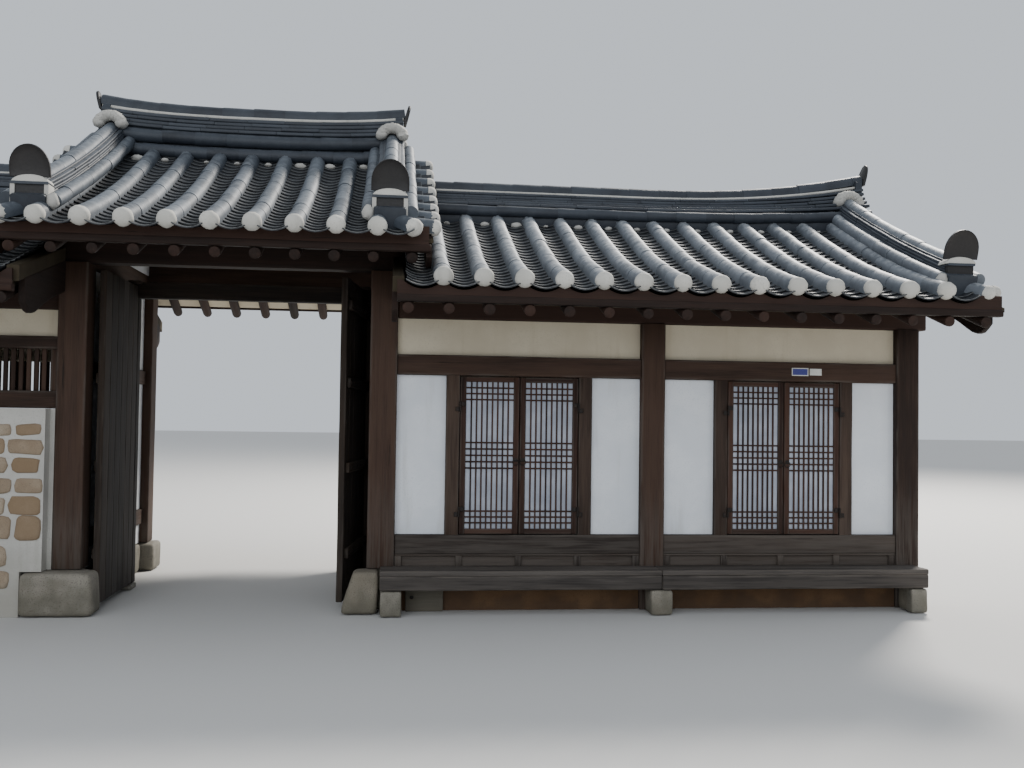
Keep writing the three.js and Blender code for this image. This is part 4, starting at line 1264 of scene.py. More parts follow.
@dataclass
class RoofCover(Maker):
    """The tiles, the clay bed, the eaves boards and the rafters of one slope of a roof."""

    roof: Roof
    label: str
    flip: int = 1

    def build(self, side: Side) -> None:
        """Builds one slope and lets it stand for the roof's solid.

        Args:
            side: The front or the back slope.
        """
        word = f"{self.label}_{side.name.lower()}"
        mirror = (self.flip, side.value)
        looks = [self.roof.row_look, Look.CHANNEL, Look.LIME, Look.MORTAR]
        tiles = Piece(f"{word}_tiles", looks, self.rng, mirror)
        tiler = Tiler(tiles)
        self.slope_tiles(tiler)
        for end in self.roof.ends:
            self.gable_tiles(tiler, end)
        made = tiles.build(self.palette)
        looks = [Look.EARTH, Look.CREAM]
        if self.roof.soffit not in looks:
            looks.insert(0, self.roof.soffit)
        bed = Piece(f"{word}_bed", looks, self.rng, mirror)
        self.bed(bed)
        bed.build(self.palette)
        timber = Piece(f"{word}_rafters", [Look.RAFTER], self.rng, mirror)
        self.rafters(timber)
        self.eaves(timber)
        timber.build(self.palette)
        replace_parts(made, f"{self.label}_roof")

    def slope_tiles(self, tiler: Tiler) -> None:
        """Lays the round rows and the hollow channels of the slope.

        Args:
            tiler: What lays the tiles.
        """
        roof = self.roof
        for x in roof.channels:
            outer = abs(abs(x) - roof.hip) < 0.08
            tiler.lay_channel(Track(roof.down(x, 2.494, 2.22 if outer else 0.10, roof.channel_depth)))
            if not outer:
                y = roof.row_top + 0.02
                place = (x + self.rng.uniform(-0.04, 0.04), y, roof.crest(x, y) - roof.channel_depth + 0.02)
                size = self.rng.uniform(0.3, 1.0)
                tiler.lump(place, (0.06 * size, 0.04, 0.035 * size))
        ring = tiler.half_round(Tiler.ROUND)
        for x in roof.rows:
            line = roof.down(x, 2.468, roof.row_top, Tiler.ROUND)
            line[:, 2] += roof.row_kick * np.clip((line[:, 1] - 1.5) / 0.97, 0, 1) ** 1.5
            track = Track(line)
            tiler.lay_round(track, ring, roof.row_look)
            tiler.plug(track.points[0], track.points[0] - track.points[1], (1, 0, 0), Tiler.ROUND)
            tiler.lump(tuple(track.points[-1]), (0.069, 0.06, 0.069), roof.row_look)

    def gable_tiles(self, tiler: Tiler, end: int) -> None:
        """Lays the short rows that face the gable, and the row on the corner of the eave.

        Args:
            tiler: What lays the tiles.
            end: The end of the roof, as the sign of its X.
        """
        roof, radius = self.roof, 0.064
        edge = max(abs(x) for x in roof.tile_x)
        inner = roof.hip + 0.09
        places = np.arange(2.24, 0.10, -0.285)
        for i, y in enumerate(places):
            slope = roof.crest(edge, y - 0.05) - roof.crest(edge, y + 0.05)
            side = np.array([0.0, -0.1, slope])
            side = tuple(side / np.linalg.norm(side))
            low = np.array([end * (edge - 0.050), y, roof.crest(edge, y) - radius - 0.030])
            high = np.array([end * inner, y, roof.crest(inner, y) - radius - 0.005])
            track = Track(np.linspace(low, high, 4), side)
            tiler.lay_round(track, tiler.half_round(radius), roof.row_look, length=0.4)
            tiler.plug(low, low - high, side, radius)
            if i:
                drop = np.array([0.0, 0.1425, roof.crest(edge, y + 0.1425) - roof.crest(edge, y) - 0.016])
                way = [low + drop + [end * 0.030, 0, 0], high + drop]
                tiler.lay_channel(Track(np.linspace(*way, 3), side), 0.12, 0.03, 0.016, 0.10)
        start = np.array([end * (roof.hip + 0.015), 2.20, roof.crest(roof.hip, 2.20) - 0.035])
        tip = np.array([end * (roof.hip + 0.185), 2.405, roof.crest(roof.hip, 2.405) - 0.060])
        side = (0.77 * end, -0.64, 0.0)
        track = Track(np.linspace(tip, start, 4), side)
        tiler.lay_round(track, tiler.half_round(0.070), roof.row_look, length=0.5)
        tiler.plug(tip, tip - start, side, 0.070)

    def bed(self, piece: Piece) -> None:
        """Adds the clay under the tiles, darkened as painted shade, and the plaster between the rafters,
        darkened as painted shade except where the roof's soffit finish is plain cream.

        Args:
            piece: What they go into.
        """
        roof = self.roof
        tip = roof.rafter_line[0][0]
        low, high = roof.tile_x
        inside = (low + 0.06 if roof.both_ends else low, high - 0.06)
        self.slab(piece, inside, tip + 0.005, 0.165, lambda x, y: roof.crest(x, y) - 0.20, Look.EARTH)
        soffit = roof.rafter_radius + 0.006
        self.slab(piece, roof.deck_x, tip - 0.14, 0.190, lambda x, y: roof.underside(y) + soffit, roof.soffit)
        gable = max(abs(x) for x in roof.deck_x) - 0.32
        for end in roof.ends:
            inside = sorted((end * (gable - 0.04), end * (gable + 0.12)))
            self.slab(piece, tuple(inside), 1.1, 0.190, lambda x, y: roof.underside(y) - 0.004, Look.CREAM)
        filling = (roof.underside(1.29) - 0.01, roof.underside(1.21) + 0.08)
        piece.timber(roof.deck_x, (1.17, 1.25), filling, Axis.X, Look.CREAM, wander=0)
        if not roof.both_ends:
            away = np.linspace(POST_CLEAR, 2.40, 9)
            line = np.array([INNER_LINE.crest(0.0, y) for y in away])
            # The fill under the inner eave, darkened as painted shade
            piece.plank(away, line - 0.01, line + 0.11, INNER_EAVE, Look.EARTH)

    def slab(
        self, piece: Piece, xs: Span, reach: float, top: float, under: Callable[[float, float], float],
        look: Look,
    ) -> None:
        """Adds a layer under the tiles that bends with the roof.

        Args:
            piece: What it goes into.
            xs: Its extent along the roof.
            reach: How far it goes from the ridge line.
            top: How far its upper face lies below the crest.
            under: The height of its underside at a place.
            look: Its finish.
        """
        roof = self.roof
        away = np.linspace(0.0, reach, 15)
        stops = np.linspace(xs[0], xs[1], max(2, int((xs[1] - xs[0]) / 0.25)))
        sections = []
        for x in stops:
            upper = [(x, y, roof.crest(x, y) - top) for y in away]
            lower = [(x, y, min(under(x, y), roof.crest(x, y) - top - 0.004)) for y in away[::-1]]
            sections.append(upper + lower)
        piece.add(sections, look)

    def rafters(self, piece: Piece) -> None:
        """Adds the round rafters, each a little crooked, with a worn end under the eave.

        Args:
            piece: What they go into.
        """
        roof = self.roof
        tip = roof.rafter_line[0][0]
        radius = roof.rafter_radius
        ring = arc(radius, 0, 330, 11)
        for x in roof.rafters:
            places = np.array([tip + 0.012, tip + 0.006, tip - 0.02, *np.linspace(tip - 0.3, 0.02, 7)])
            bow = self.rng.uniform(-0.012, 0.012)
            sag = self.rng.uniform(-0.004, 0.0)
            path = []
            for y in places:
                share = math.sin(math.pi * min(1.0, (tip - y) / tip)) if y < tip else 0.0
                path.append((x + bow * share, y, roof.underside(min(y, tip)) + radius + sag * share))
            size = self.rng.uniform(0.92, 1.0)
            scale = np.array([0.55, 0.86, 0.93, 0.95, 0.97, *np.ones(5)]) * size
            piece.sweep(np.array(path), ring, scale=scale, edge=np.array([0.3, 0.5, 0.1, *np.zeros(7)]))

    def eaves(self, piece: Piece) -> None:
        """Adds the board that carries the lowest tiles, cut to their curves, and the batten under it.

        Args:
            piece: What they go into.
        """
        roof = self.roof
        tip = roof.rafter_line[0][0]
        front = min(tip + 0.04, 2.45)
        batten = roof.underside(tip) + 2 * roof.rafter_radius - 0.004
        xs = roof.eave_board_x
        piece.timber(xs, (front - 0.075, front), (batten, batten + 0.058), Axis.X, wander=0.001)
        centres = np.array(roof.channels)
        stops = np.arange(xs[0], xs[1], 0.026)
        sections = []
        for x in stops:
            near = np.abs(centres - x).min()
            sag = 0.042 * min(near, 0.16) ** 2 / 0.125**2
            top = roof.crest(x, front) - roof.channel_depth - 0.019 + sag
            foot = batten + 0.05
            ring = ((front - 0.030, foot), (front - 0.004, foot), (front - 0.002, top), (front - 0.030, top))
            sections.append([(x, y, z) for y, z in ring])
        piece.add(sections, grain=np.array(sections))
        if not roof.both_ends:
            INNER_LINE.board(piece, (INNER_EAVE[0] - 0.003, INNER_EAVE[0] + 0.045), POST_CLEAR, 0.0)


class Laid(Enum):
    """How a course of a ridge is made."""

    CORE = "one block of mortar under the tiles"
    LIME = "one strip of lime"
    ROUNDS = "a row of round tiles on each face"
    SLABS = "flat tiles"
    CAP = "round tiles along the top"


@dataclass(frozen=True)
class Course:
    """One course of a ridge: how it is made, its height over the foot, and its half width."""

    laid: Laid
    low: float
    high: float
    half: float


GATE_COURSES = (
    Course(Laid.CORE, -0.10, 0.40, 0.090),
    Course(Laid.ROUNDS, -0.005, 0.122, 0.128),
    Course(Laid.ROUNDS, 0.130, 0.262, 0.112),
    Course(Laid.SLABS, 0.272, 0.305, 0.128),
    Course(Laid.SLABS, 0.309, 0.342, 0.122),
    Course(Laid.SLABS, 0.346, 0.379, 0.117),
    Course(Laid.SLABS, 0.383, 0.416, 0.112),
    Course(Laid.LIME, 0.417, 0.450, 0.080),
    Course(Laid.CAP, 0.445, 0.552, 0.070),
)
WING_COURSES = (
    Course(Laid.CORE, -0.10, 0.245, 0.090),
    Course(Laid.CORE, -0.10, 0.090, 0.270),
    Course(Laid.ROUNDS, -0.010, 0.100, 0.270),
    Course(Laid.SLABS, 0.104, 0.133, 0.262),
    Course(Laid.SLABS, 0.137, 0.166, 0.205),
    Course(Laid.SLABS, 0.170, 0.199, 0.155),
    Course(Laid.SLABS, 0.203, 0.232, 0.130),
    Course(Laid.SLABS, 0.236, 0.262, 0.118),
    Course(Laid.LIME, 0.263, 0.290, 0.078),
    Course(Laid.CAP, 0.300, 0.382, 0.066),
)


@dataclass
class MainRidge(Maker):
    """The tiled ridge along the top of a roof, which rises towards its ends."""

    label: str
    roof: Roof
    courses: tuple[Course, ...]
    span: Span
    foot: float
    rise_height: float
    rise_from: float
    rise_power: float
    flip: int = 1
    ceiling: float = 4.795

    @property
    def tall(self) -> float:
        """Height of the whole ridge over its foot."""
        return self.courses[-1].high

    def height(self, x: float, above: float) -> float:
        """Finds how high a level of the ridge lies.

        Args:
            x: The place along the ridge.
            above: The level's height over the foot, where the ridge doesn't rise.

        Returns:
            The height above the ground.
        """
        reach = max(abs(v) for v in self.span)
        share = max(0.0, (abs(x) - self.rise_from) / (reach - self.rise_from))
        rise = self.rise_height * share**self.rise_power
        part = min(1.0, max(0.0, above / self.tall))
        return self.foot + above + self.roof.lift(x, 0.0) * (1 - part) + rise * part

    def track(self, across: float, above: float, low: float, high: float) -> Track:
        """A line along the ridge at one level and one distance from its middle."""
        stops = np.linspace(low, high, max(6, int((high - low) / 0.2)))
        return Track(np.array([(x, across, self.height(x, above)) for x in stops]), (0, 1, 0))

    def build(self) -> None:
        """Builds the ridge with the ridges that run down its gables."""
        looks = [Look.SLATE, Look.LIME, Look.DARK_TILE, Look.MORTAR, self.roof.row_look]
        piece = Piece(f"{self.label}_ridge_tiles", looks, self.rng, (self.flip, 1))
        tiler = Tiler(piece)
        low, high = self.span
        for course in self.courses:
            self.course(tiler, course, low + 0.02, high - 0.02)
        for out in self.roof.ends:
            self.end(tiler, out, high if out > 0 else low)
        slope_ridge = SlopeRidge(self.roof, tiler)
        for out in self.roof.ends:
            for row in (-1, 1):
                slope_ridge.build(out * self.roof.hip, row)
        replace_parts(piece.build(self.palette), f"{self.label}_ridge")

    def course(self, tiler: Tiler, course: Course, low: float, high: float) -> None:
        """Lays one course from end to end.

        Args:
            tiler: What lays the tiles.
            course: The course.
            low: Where it starts.
            high: Where it ends.
        """
        middle = (course.low + course.high) / 2
        thick = course.high - course.low
        start = tiler.piece.rng.uniform(0.0, 0.2)
        if course.laid in (Laid.CORE, Laid.LIME):
            ring = slab_ring(course.half, 0, thick, 0.01)
            path = self.track(0, course.low, low, high).points
            look = Look.LIME if course.laid == Laid.LIME else Look.SLATE
            tiler.piece.sweep(path, ring, look, (0, 1, 0))
        elif course.laid == Laid.ROUNDS:
            for side in (-1, 1):
                ring = rod_ring(thick / 2)
                tiler.lay_round(self.track(side * course.half, middle, low, high), ring, start=start)
        elif course.laid == Laid.SLABS:
            tiler.lay_slabs(self.track(0, course.low, low, high), course.half, thick, start=start)
        else:
            radius = course.half
            track = self.track(0, course.high - radius, low - 0.01, high + 0.01)
            tiler.lay_round(track, tiler.half_round(radius), start=start)

    def end(self, tiler: Tiler, out: int, x: float) -> None:
        """Closes one end of the ridge with mortar and an upright tile.

        Args:
            tiler: What lays the tiles.
            out: The end, as the sign of its X.
            x: Its place.
        """
        tall, lean = self.tall, 0.25
        low = self.height(x, -0.25 * tall)
        ring = slab_ring(0.10, 0, self.height(x, 0.8 * tall) - low, 0.02)
        path = np.array([(x - out * 0.10, 0, low), (x - out * 0.03, 0, low)])
        tiler.piece.sweep(path, ring, Look.SLATE, (0, 1, 0))
        foot = self.height(x, 0.72 * tall)
        top = min(self.height(x, tall) + 0.20 * tall, self.ceiling)
        tiler.end_plate((x - out * 0.008, 0.0, foot), 0.095, (top - foot) / math.cos(lean), (out, 0), lean)


@dataclass
class SlopeRidge:
    """A tiled ridge that runs down the slope beside a gable and ends in an upright tile."""

    roof: Roof
    tiler: Tiler
    upper: float = 0.10
    lower: float = 2.30

    def line(self, x: float, row: int, above: float, low: float | None = None) -> Track:
        """A line down the slope at a height over the crest, measured from its lower end."""
        away = np.linspace(self.lower if low is None else low, self.upper, 14)
        return Track(np.array([(x, row * y, self.roof.crest(x, y) + above) for y in away]))

    def build(self, x: float, row: int) -> None:
        """Builds one ridge.

        Args:
            x: Its middle.
            row: The side of the roof, as the sign of Y.
        """
        tiler, piece = self.tiler, self.tiler.piece
        look = self.roof.row_look
        ring = slab_ring(0.125, 0, 0.20, 0.01)
        piece.sweep(self.line(x, row, -0.13).points, ring, Look.SLATE)
        for side in (-1, 1):
            track = self.line(x + side * 0.165, row, 0.030)
            tiler.lay_round(track, rod_ring(0.060), look)
            tip = track.points[0]
            if side * x < 0:
                tiler.lump((tip[0], tip[1] + row * 0.015, tip[2] - 0.005), (0.050, 0.040, 0.060))
        tall = 0.30 if self.roof.both_ends else 0.26
        for turn in range(10, 180, 20):
            across, over = 0.105 * math.cos(math.radians(turn)), 0.085 * math.sin(math.radians(turn))
            place = (x + across, row * 0.19, self.roof.crest(x, 0.2) + tall - 0.09 + over)
            tiler.lump(place, (0.058, 0.068, 0.050))
        for i in range(3):
            tiler.lay_slabs(self.line(x, row, 0.080 + 0.026 * i, 2.27), 0.122 - 0.005 * i, 0.022)
        piece.sweep(self.line(x, row, 0.150, 2.25).points, slab_ring(0.080, 0, 0.02), Look.SLATE)
        tiler.lay_round(self.line(x, row, 0.150, 2.24), tiler.half_round(0.066), look)
        self.foot(x, row)

    def foot(self, x: float, row: int) -> None:
        """Builds the mortar box at the lower end, with the half moon and the upright tile on it.

        Args:
            x: Its middle.
            row: The side of the roof, as the sign of Y.
        """
        tiler, piece = self.tiler, self.tiler.piece
        base = self.roof.crest(x, 2.32)
        depth = [row * 2.318, row * 2.20]
        block = np.array([(x, y, base - 0.06) for y in depth])
        # The box is darkened as painted shade
        piece.sweep(block, slab_ring(0.112, 0, 0.225, 0.008), Look.DARK_TILE, tone=0.2)
        for side in (-1, 1) if self.roof.both_ends else ():
            cheek = np.array([(x + side * 0.122, y, base - 0.02) for y in (row * 2.330, row * 2.20)])
            piece.sweep(cheek, slab_ring(0.016, 0, 0.185, 0.006), Look.MORTAR)
        brow = np.array([(x, y, base + 0.150) for y in (row * 2.336, row * 2.19)])
        wide = 0.138 if self.roof.both_ends else 0.118
        piece.sweep(brow, slab_ring(wide, 0, 0.020), Look.SLATE, edge=0.5)
        moon = np.concatenate([[[0.135, 0.0]], arc(1.0, 8, 172, 12) * [0.135, 0.058], [[-0.135, 0.0]]])
        half_moon = np.array([(x, y, base + 0.168) for y in (row * 2.328, row * 2.318, row * 2.20)])
        piece.sweep(half_moon, moon, Look.LIME, scale=np.array([0.93, 1.0, 1.0]))
        tiler.end_plate((x, row * 2.305, base + 0.208), 0.147, 0.245, (0, row))


@dataclass
class Bargeboards(Maker):
    """The curved boards under the tiles at the gables, with the rounded tails at the eaves."""

    thick: float = 0.048

    def build(self, label: str, roof: Roof, flip: int) -> None:
        """Builds one board.

        Args:
            label: The name of the node that it stands for.
            roof: The roof that it belongs to.
            flip: The end of the building, as the sign of X.
        """
        piece = Piece(label + "_timber", [Look.RAFTER], self.rng, (flip, 1))
        outer = max(abs(x) for x in roof.deck_x) + 0.006
        roof.board(piece, (outer, outer + self.thick), 0.0, 0.150, whole=True)
        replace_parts(piece.build(self.palette), label)


# Timber frames


@dataclass
class Carpenter(Maker):
    """Builds the posts, beams and rails of the building."""

    gate_post: Span = (1.182, 1.418)
    gate_rail: Span = (1.242, 1.358)
    gate_reach: Span = (-1.448, 1.448)
    gate_beam: Span = (2.952, 3.292)
    wing_plate: Span = (1.422, 6.288)
    wing_posts: Span = (3.7, 6.1)
    gable_rail: Span = (6.082, 6.198)

    def frame(self, name: str, members: list[tuple], look: Look = Look.TIMBER, flip: int = 1) -> None:
        """Builds one frame that stands for the node of the same name.

        Args:
            name: The node's name.
            members: Each member's extents in X, Y and Z, its axis, and its finish where that differs.
            look: The finish of the other members.
            flip: The sign of X.
        """
        looks = list(dict.fromkeys([look, *(member[4] for member in members if len(member) > 4)]))
        piece = Piece(name + "_timber", looks, self.rng, (flip, 1))
        for xs, ys, zs, axis, *other in members:
            piece.timber(xs, ys, zs, axis, other[0] if other else look)
        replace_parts(piece.build(self.palette), name)

    def gate(self) -> None:
        """Builds the frame of the gate."""
        post, rail, reach, beam = self.gate_post, self.gate_rail, self.gate_reach, self.gate_beam
        for word, flip in (("left", -1), ("right", 1)):
            front = (post, (-1.318, -1.082), (0.37, beam[0]), Axis.Z)
            self.frame(f"gate_front_post_{word}", [front], flip=flip)
            side = [(post, (-0.118, 0.118), (0.20, beam[0]), Axis.Z)]
            side.append((rail, (-1.11, 1.11), (2.945, 3.148), Axis.Y))
            side += [(rail, (-1.085, 1.085), zs, Axis.Y) for zs in ((0.502, 0.658), (1.982, 2.128))]
            self.frame(f"gate_side_frame_{word}", side, flip=flip)
        self.frame("gate_front_beam", [(reach, (-1.288, -1.112), beam, Axis.X)], Look.RAFTER)
        rear = [(reach, (1.112, 1.288), beam, Axis.X)]
        door = [((-1.178, 1.178), (-0.058, 0.058), (2.79, 2.948), Axis.X)]
        for s in (-1, 1):
            rear.append(((s * post[0], s * post[1]), (1.082, 1.318), (0.30, 2.956), Axis.Z))
            door.append(((s * 1.062, s * 1.178), (-0.058, 0.058), (0.05, 2.795), Axis.Z))
            door.append(((s * 1.032, s * 1.148), (-0.158, -0.050), (2.917, 2.948), Axis.X))
        self.frame("gate_back_frame", rear)
        self.frame("gate_door_frame", door, Look.LEAF)

    @staticmethod
    def wing_post(x: float, row: int) -> tuple:
        """One post of a long side of a wing."""
        ys = (row * WING_POST_DEPTH[0], row * WING_POST_DEPTH[1])
        return (x - 0.108, x + 0.108), ys, WING_POST_HEIGHT, Axis.Z

    @staticmethod
    def wing_rails(levels: tuple[Span, ...], row: int) -> list[tuple]:
        """The rails of a long side of a wing, level after level."""
        ys = (row * RAIL_DEPTH[0], row * RAIL_DEPTH[1])
        return [(bay, ys, (low + 0.002, high - 0.002), Axis.X) for low, high in levels for bay in WING_BAYS]

    def wing_back(self, name: str, levels: tuple[Span, ...], vents: bool, flip: int) -> None:
        """Builds the rear row and the gable frame of a wing.

        Args:
            name: The node's name.
            levels: The heights of its rails.
            vents: Whether it has vents between its rails.
            flip: The sign of X.
        """
        members = [(self.wing_plate, (1.112, 1.288), (2.547, 2.872), Axis.X, Look.RAFTER)]
        members += [self.wing_post(x, 1) for x in self.wing_posts]
        members.append(((5.995, 6.208), (-0.098, 0.098), WING_POST_HEIGHT, Axis.Z))
        members.append((self.gable_rail, (-1.108, 1.108), (2.547, 2.718), Axis.Y))
        for level in levels:
            members += self.wing_rails((level,), 1)
            members.append((self.gable_rail, (-1.09, 1.09), (level[0] + 0.002, level[1] - 0.002), Axis.Y))
        if vents:
            members += self.vent_jambs(1)
        self.frame(name, members, flip=flip)

    @staticmethod
    def vent_jambs(row: int) -> list[tuple]:
        """The jambs and middle posts of the vents on one side.

        Args:
            row: The side, as the sign of Y.

        Returns:
            The members, as a frame takes them.
        """
        members = []
        for low, high in WING_BAYS:
            middle = (low + high) / 2
            for xs in ((low, low + 0.06), (middle - 0.03, middle + 0.03), (high - 0.06, high)):
                members.append((xs, (row * 1.182, row * 1.278), (1.856, 2.214), Axis.Z))
        return members

    def wings(self) -> None:
        """Builds the frames of both wings."""
        posts = [self.wing_post(x, -1) for x in self.wing_posts]
        for word, post in zip(("middle", "end"), posts):
            self.frame(f"right_front_post_{word}", [post])
        plate = (self.wing_plate, (-1.288, -1.112), (2.547, 2.866), Axis.X)
        self.frame("right_front_plate", [plate], Look.RAFTER)
        self.wing_back("right_back_frame", (LOW_RAIL, HIGH_RAIL), False, 1)
        self.wing_back("left_back_frame", (VENT_SILL, VENT_HEAD), True, -1)
        front = [plate + (Look.RAFTER,), *posts, *self.wing_rails((VENT_SILL, VENT_HEAD), -1)]
        self.frame("left_front_frame", front + self.vent_jambs(-1), flip=-1)

    def vent_bars(self) -> None:
        """Adds the upright bars in the vents under the eaves of the left wing."""
        piece = Piece("left_vent_bars", [Look.TIMBER], self.rng, (-1, 1))
        half, pitch = 0.018, 0.062
        for row in (-1, 1):
            for low, high in WING_BAYS:
                middle = (low + high) / 2
                for start, end in ((low + 0.06, middle - 0.03), (middle + 0.03, high - 0.06)):
                    count = int((end - start) / pitch)
                    for i in range(1, count):
                        x = start + (end - start) * i / count
                        ys = (row * 1.215, row * 1.239)
                        piece.slat((x - half, x + half), ys, (1.855, 2.215), Axis.Z)
        piece.build(self.palette)


# Doors


@dataclass
class DoorFrame(Maker):
    """The jambs, rails and apron board around a pair of room doors."""

    number: int
    bay: Span
    centre: float
    rail: Span = (-1.298, -1.182)
    jamb: Span = (-1.288, -1.182)
    rim: float = 0.06
    stile: float = 0.055

    def build(self) -> None:
        """Builds the frame with the fixed halves of its hinges."""
        looks = [Look.SILL, Look.JAMB, Look.TIMBER, Look.IRON, Look.CLAY]
        piece = Piece(f"door_frame_{self.number}_timber", looks, self.rng)
        piece.timber(self.bay, self.rail, (0.492, 0.658), Axis.X, Look.SILL)
        piece.timber(self.bay, self.rail, (2.052, 2.228), Axis.X, Look.TIMBER)
        for side in (-1, 1):
            xs = (self.centre + side * 0.531, self.centre + side * 0.649)
            piece.timber(xs, self.jamb, (0.655, 2.055), Axis.Z, Look.JAMB, 0.004)
            for height in HINGE_HEIGHTS:
                self.hinge(piece, side, height)
        self.apron(piece)
        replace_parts(piece.build(self.palette), f"door_frame_{self.number}")

    def hinge(self, piece: Piece, side: int, height: float) -> None:
        """Adds the fixed half of a hinge: its knuckle and the strap on the jamb.

        Args:
            piece: What it goes into.
            side: The jamb, as the sign of its X from the middle.
            height: The middle of the hinge.
        """
        pin = self.centre + side * DOOR_PIN
        barrel = np.array([(pin, KNUCKLE_Y, z) for z in (height - 0.045, height - 0.0005)])
        piece.sweep(barrel, rod_ring(0.008), Look.IRON)
        strap = (pin, self.centre + side * 0.569)
        piece.timber(strap, (-1.2895, -1.3010), (height - 0.042, height - 0.004), Axis.X, Look.IRON, 0.002, 0)

    def apron(self, piece: Piece) -> None:
        """Adds the board under the low rail with its four sunk panels.

        Args:
            piece: What it goes into.
        """
        (x0, x1), rim, stile = self.bay, self.rim, self.stile
        pitch = (x1 - x0 - 2 * rim - 3 * stile) / 4 + stile
        for zs in ((0.474, 0.493), (0.332, 0.386)):
            piece.timber(self.bay, self.jamb, zs, Axis.X, Look.SILL, 0.003)
        stiles = [(x0, x0 + rim), (x1 - rim, x1)]
        stiles += [(x0 + rim + i * pitch - stile, x0 + rim + i * pitch) for i in (1, 2, 3)]
        for start, end in stiles:
            piece.timber((start, end), (-1.286, -1.20), (0.384, 0.476), Axis.Z, Look.SILL, 0.003)
        piece.timber((x0 + 0.05, x1 - 0.05), (-1.264, -1.19), (0.384, 0.476), Axis.X, Look.SILL, 0.002)


@dataclass
class LatticeDoor(Maker):
    """One leaf of a pair of room doors: a frame with thin bars over paper."""

    number: int
    centre: float
    side: int
    front: float = -1.284
    back: float = -1.244
    levels: Span = (0.666, 2.044)
    reach: Span = (0.0045, 0.524)
    stile: float = 0.05
    rail: float = 0.045
    bars: int = 8
    half_bar: float = 0.0065

    def build(self) -> None:
        """Builds the leaf with its bars, paper, hinges and pull."""
        word = "left" if self.side < 0 else "right"
        name = f"room_door_{self.number}_{word}"
        piece = Piece(name + "_leaf", [Look.DOOR, Look.PAPER, Look.IRON], self.rng)
        meet, edge = (self.centre + self.side * reach for reach in self.reach)
        low, high = self.levels
        depth = (self.front, self.back)
        stiles = ((edge, edge - self.side * self.stile), (meet, meet + self.side * self.stile))
        for xs in stiles:
            piece.timber(xs, depth, self.levels, Axis.Z, Look.DOOR, 0.004, 0.0)
        inner = sorted(xs[1] for xs in stiles)
        for a, b in ((low, low + self.rail), (high - self.rail, high)):
            piece.timber(tuple(inner), depth, (a, b), Axis.X, Look.DOOR, 0.004, 0.0)
        self.lattice(piece, inner)
        ys, zs = (self.front + 0.020, self.back), (low + 0.04, high - 0.04)
        piece.slat(tuple(inner), ys, zs, Axis.X, Look.PAPER)
        self.fittings(piece, edge, meet)
        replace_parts(piece.build(self.palette, name), name)

    def lattice(self, piece: Piece, inner: list[float]) -> None:
        """Adds the upright bars and the three groups of level bars.

        Args:
            piece: What they go into.
            inner: The inner edges of the two stiles.
        """
        low, high = self.levels[0] + self.rail, self.levels[1] - self.rail
        half, back = self.half_bar, self.front + 0.021
        pitch = (inner[1] - inner[0]) / (self.bars + 1)
        for i in range(1, self.bars + 1):
            x = inner[0] + pitch * i
            piece.slat((x - half, x + half), (self.front + 0.004, back), (low, high), Axis.Z, Look.DOOR)
        levels = [high - 0.052 * i for i in (1, 2, 3)]
        levels += [1.353 + 0.056 * i for i in (-2, -1, 0, 1, 2)]
        levels += [low + 0.051 * i for i in (1, 2, 3)]
        for z in levels:
            piece.slat(tuple(inner), (self.front + 0.006, back), (z - half, z + half), Axis.X, Look.DOOR)

    def fittings(self, piece: Piece, edge: float, meet: float) -> None:
        """Adds the turning halves of the hinges, and the ring at the meeting stile.

        Args:
            piece: What they go into.
            edge: The outer edge of the leaf.
            meet: The edge that meets the other leaf.
        """
        pin = self.centre + self.side * DOOR_PIN
        for height in HINGE_HEIGHTS:
            barrel = np.array([(pin, KNUCKLE_Y, z) for z in (height + 0.0005, height + 0.045)])
            piece.sweep(barrel, rod_ring(0.008), Look.IRON)
            strap = (pin, edge - self.side * 0.044)
            ys, zs = (self.front - 0.0005, self.front - 0.014), (height + 0.004, height + 0.042)
            piece.timber(strap, ys, zs, Axis.X, Look.IRON, 0.002, 0)
        x = meet + self.side * 0.027
        ys = (self.front - 0.004, self.front + 0.002)
        piece.timber((x - 0.017, x + 0.017), ys, (1.300, 1.334), Axis.Z, Look.IRON, 0.002, 0)
        turn = np.radians(np.linspace(120, 420, 15))
        ring = [x + 0.026 * np.cos(turn), np.full(15, self.front - 0.010), 1.296 + 0.026 * np.sin(turn)]
        self.wire(piece, np.stack(ring, -1), 0.0035)

    @staticmethod
    def wire(piece: Piece, path: np.ndarray, radius: float) -> None:
        """Adds a bent iron rod that lies in a plane facing the courtyard.

        Args:
            piece: What it goes into.
            path: The middle of the rod.
            radius: Half its thickness.
        """
        ahead = np.gradient(path, axis=0)
        ahead /= np.linalg.norm(ahead, axis=1)[:, None]
        out = np.array([0.0, 1.0, 0.0])
        across = np.cross(ahead, out)
        turn = np.linspace(0, 2 * math.pi, 9)[:-1]
        sections = [
            [p + radius * (math.cos(t) * a + math.sin(t) * out) for t in turn] for p, a in zip(path, across)
        ]
        piece.add(sections, Look.IRON)


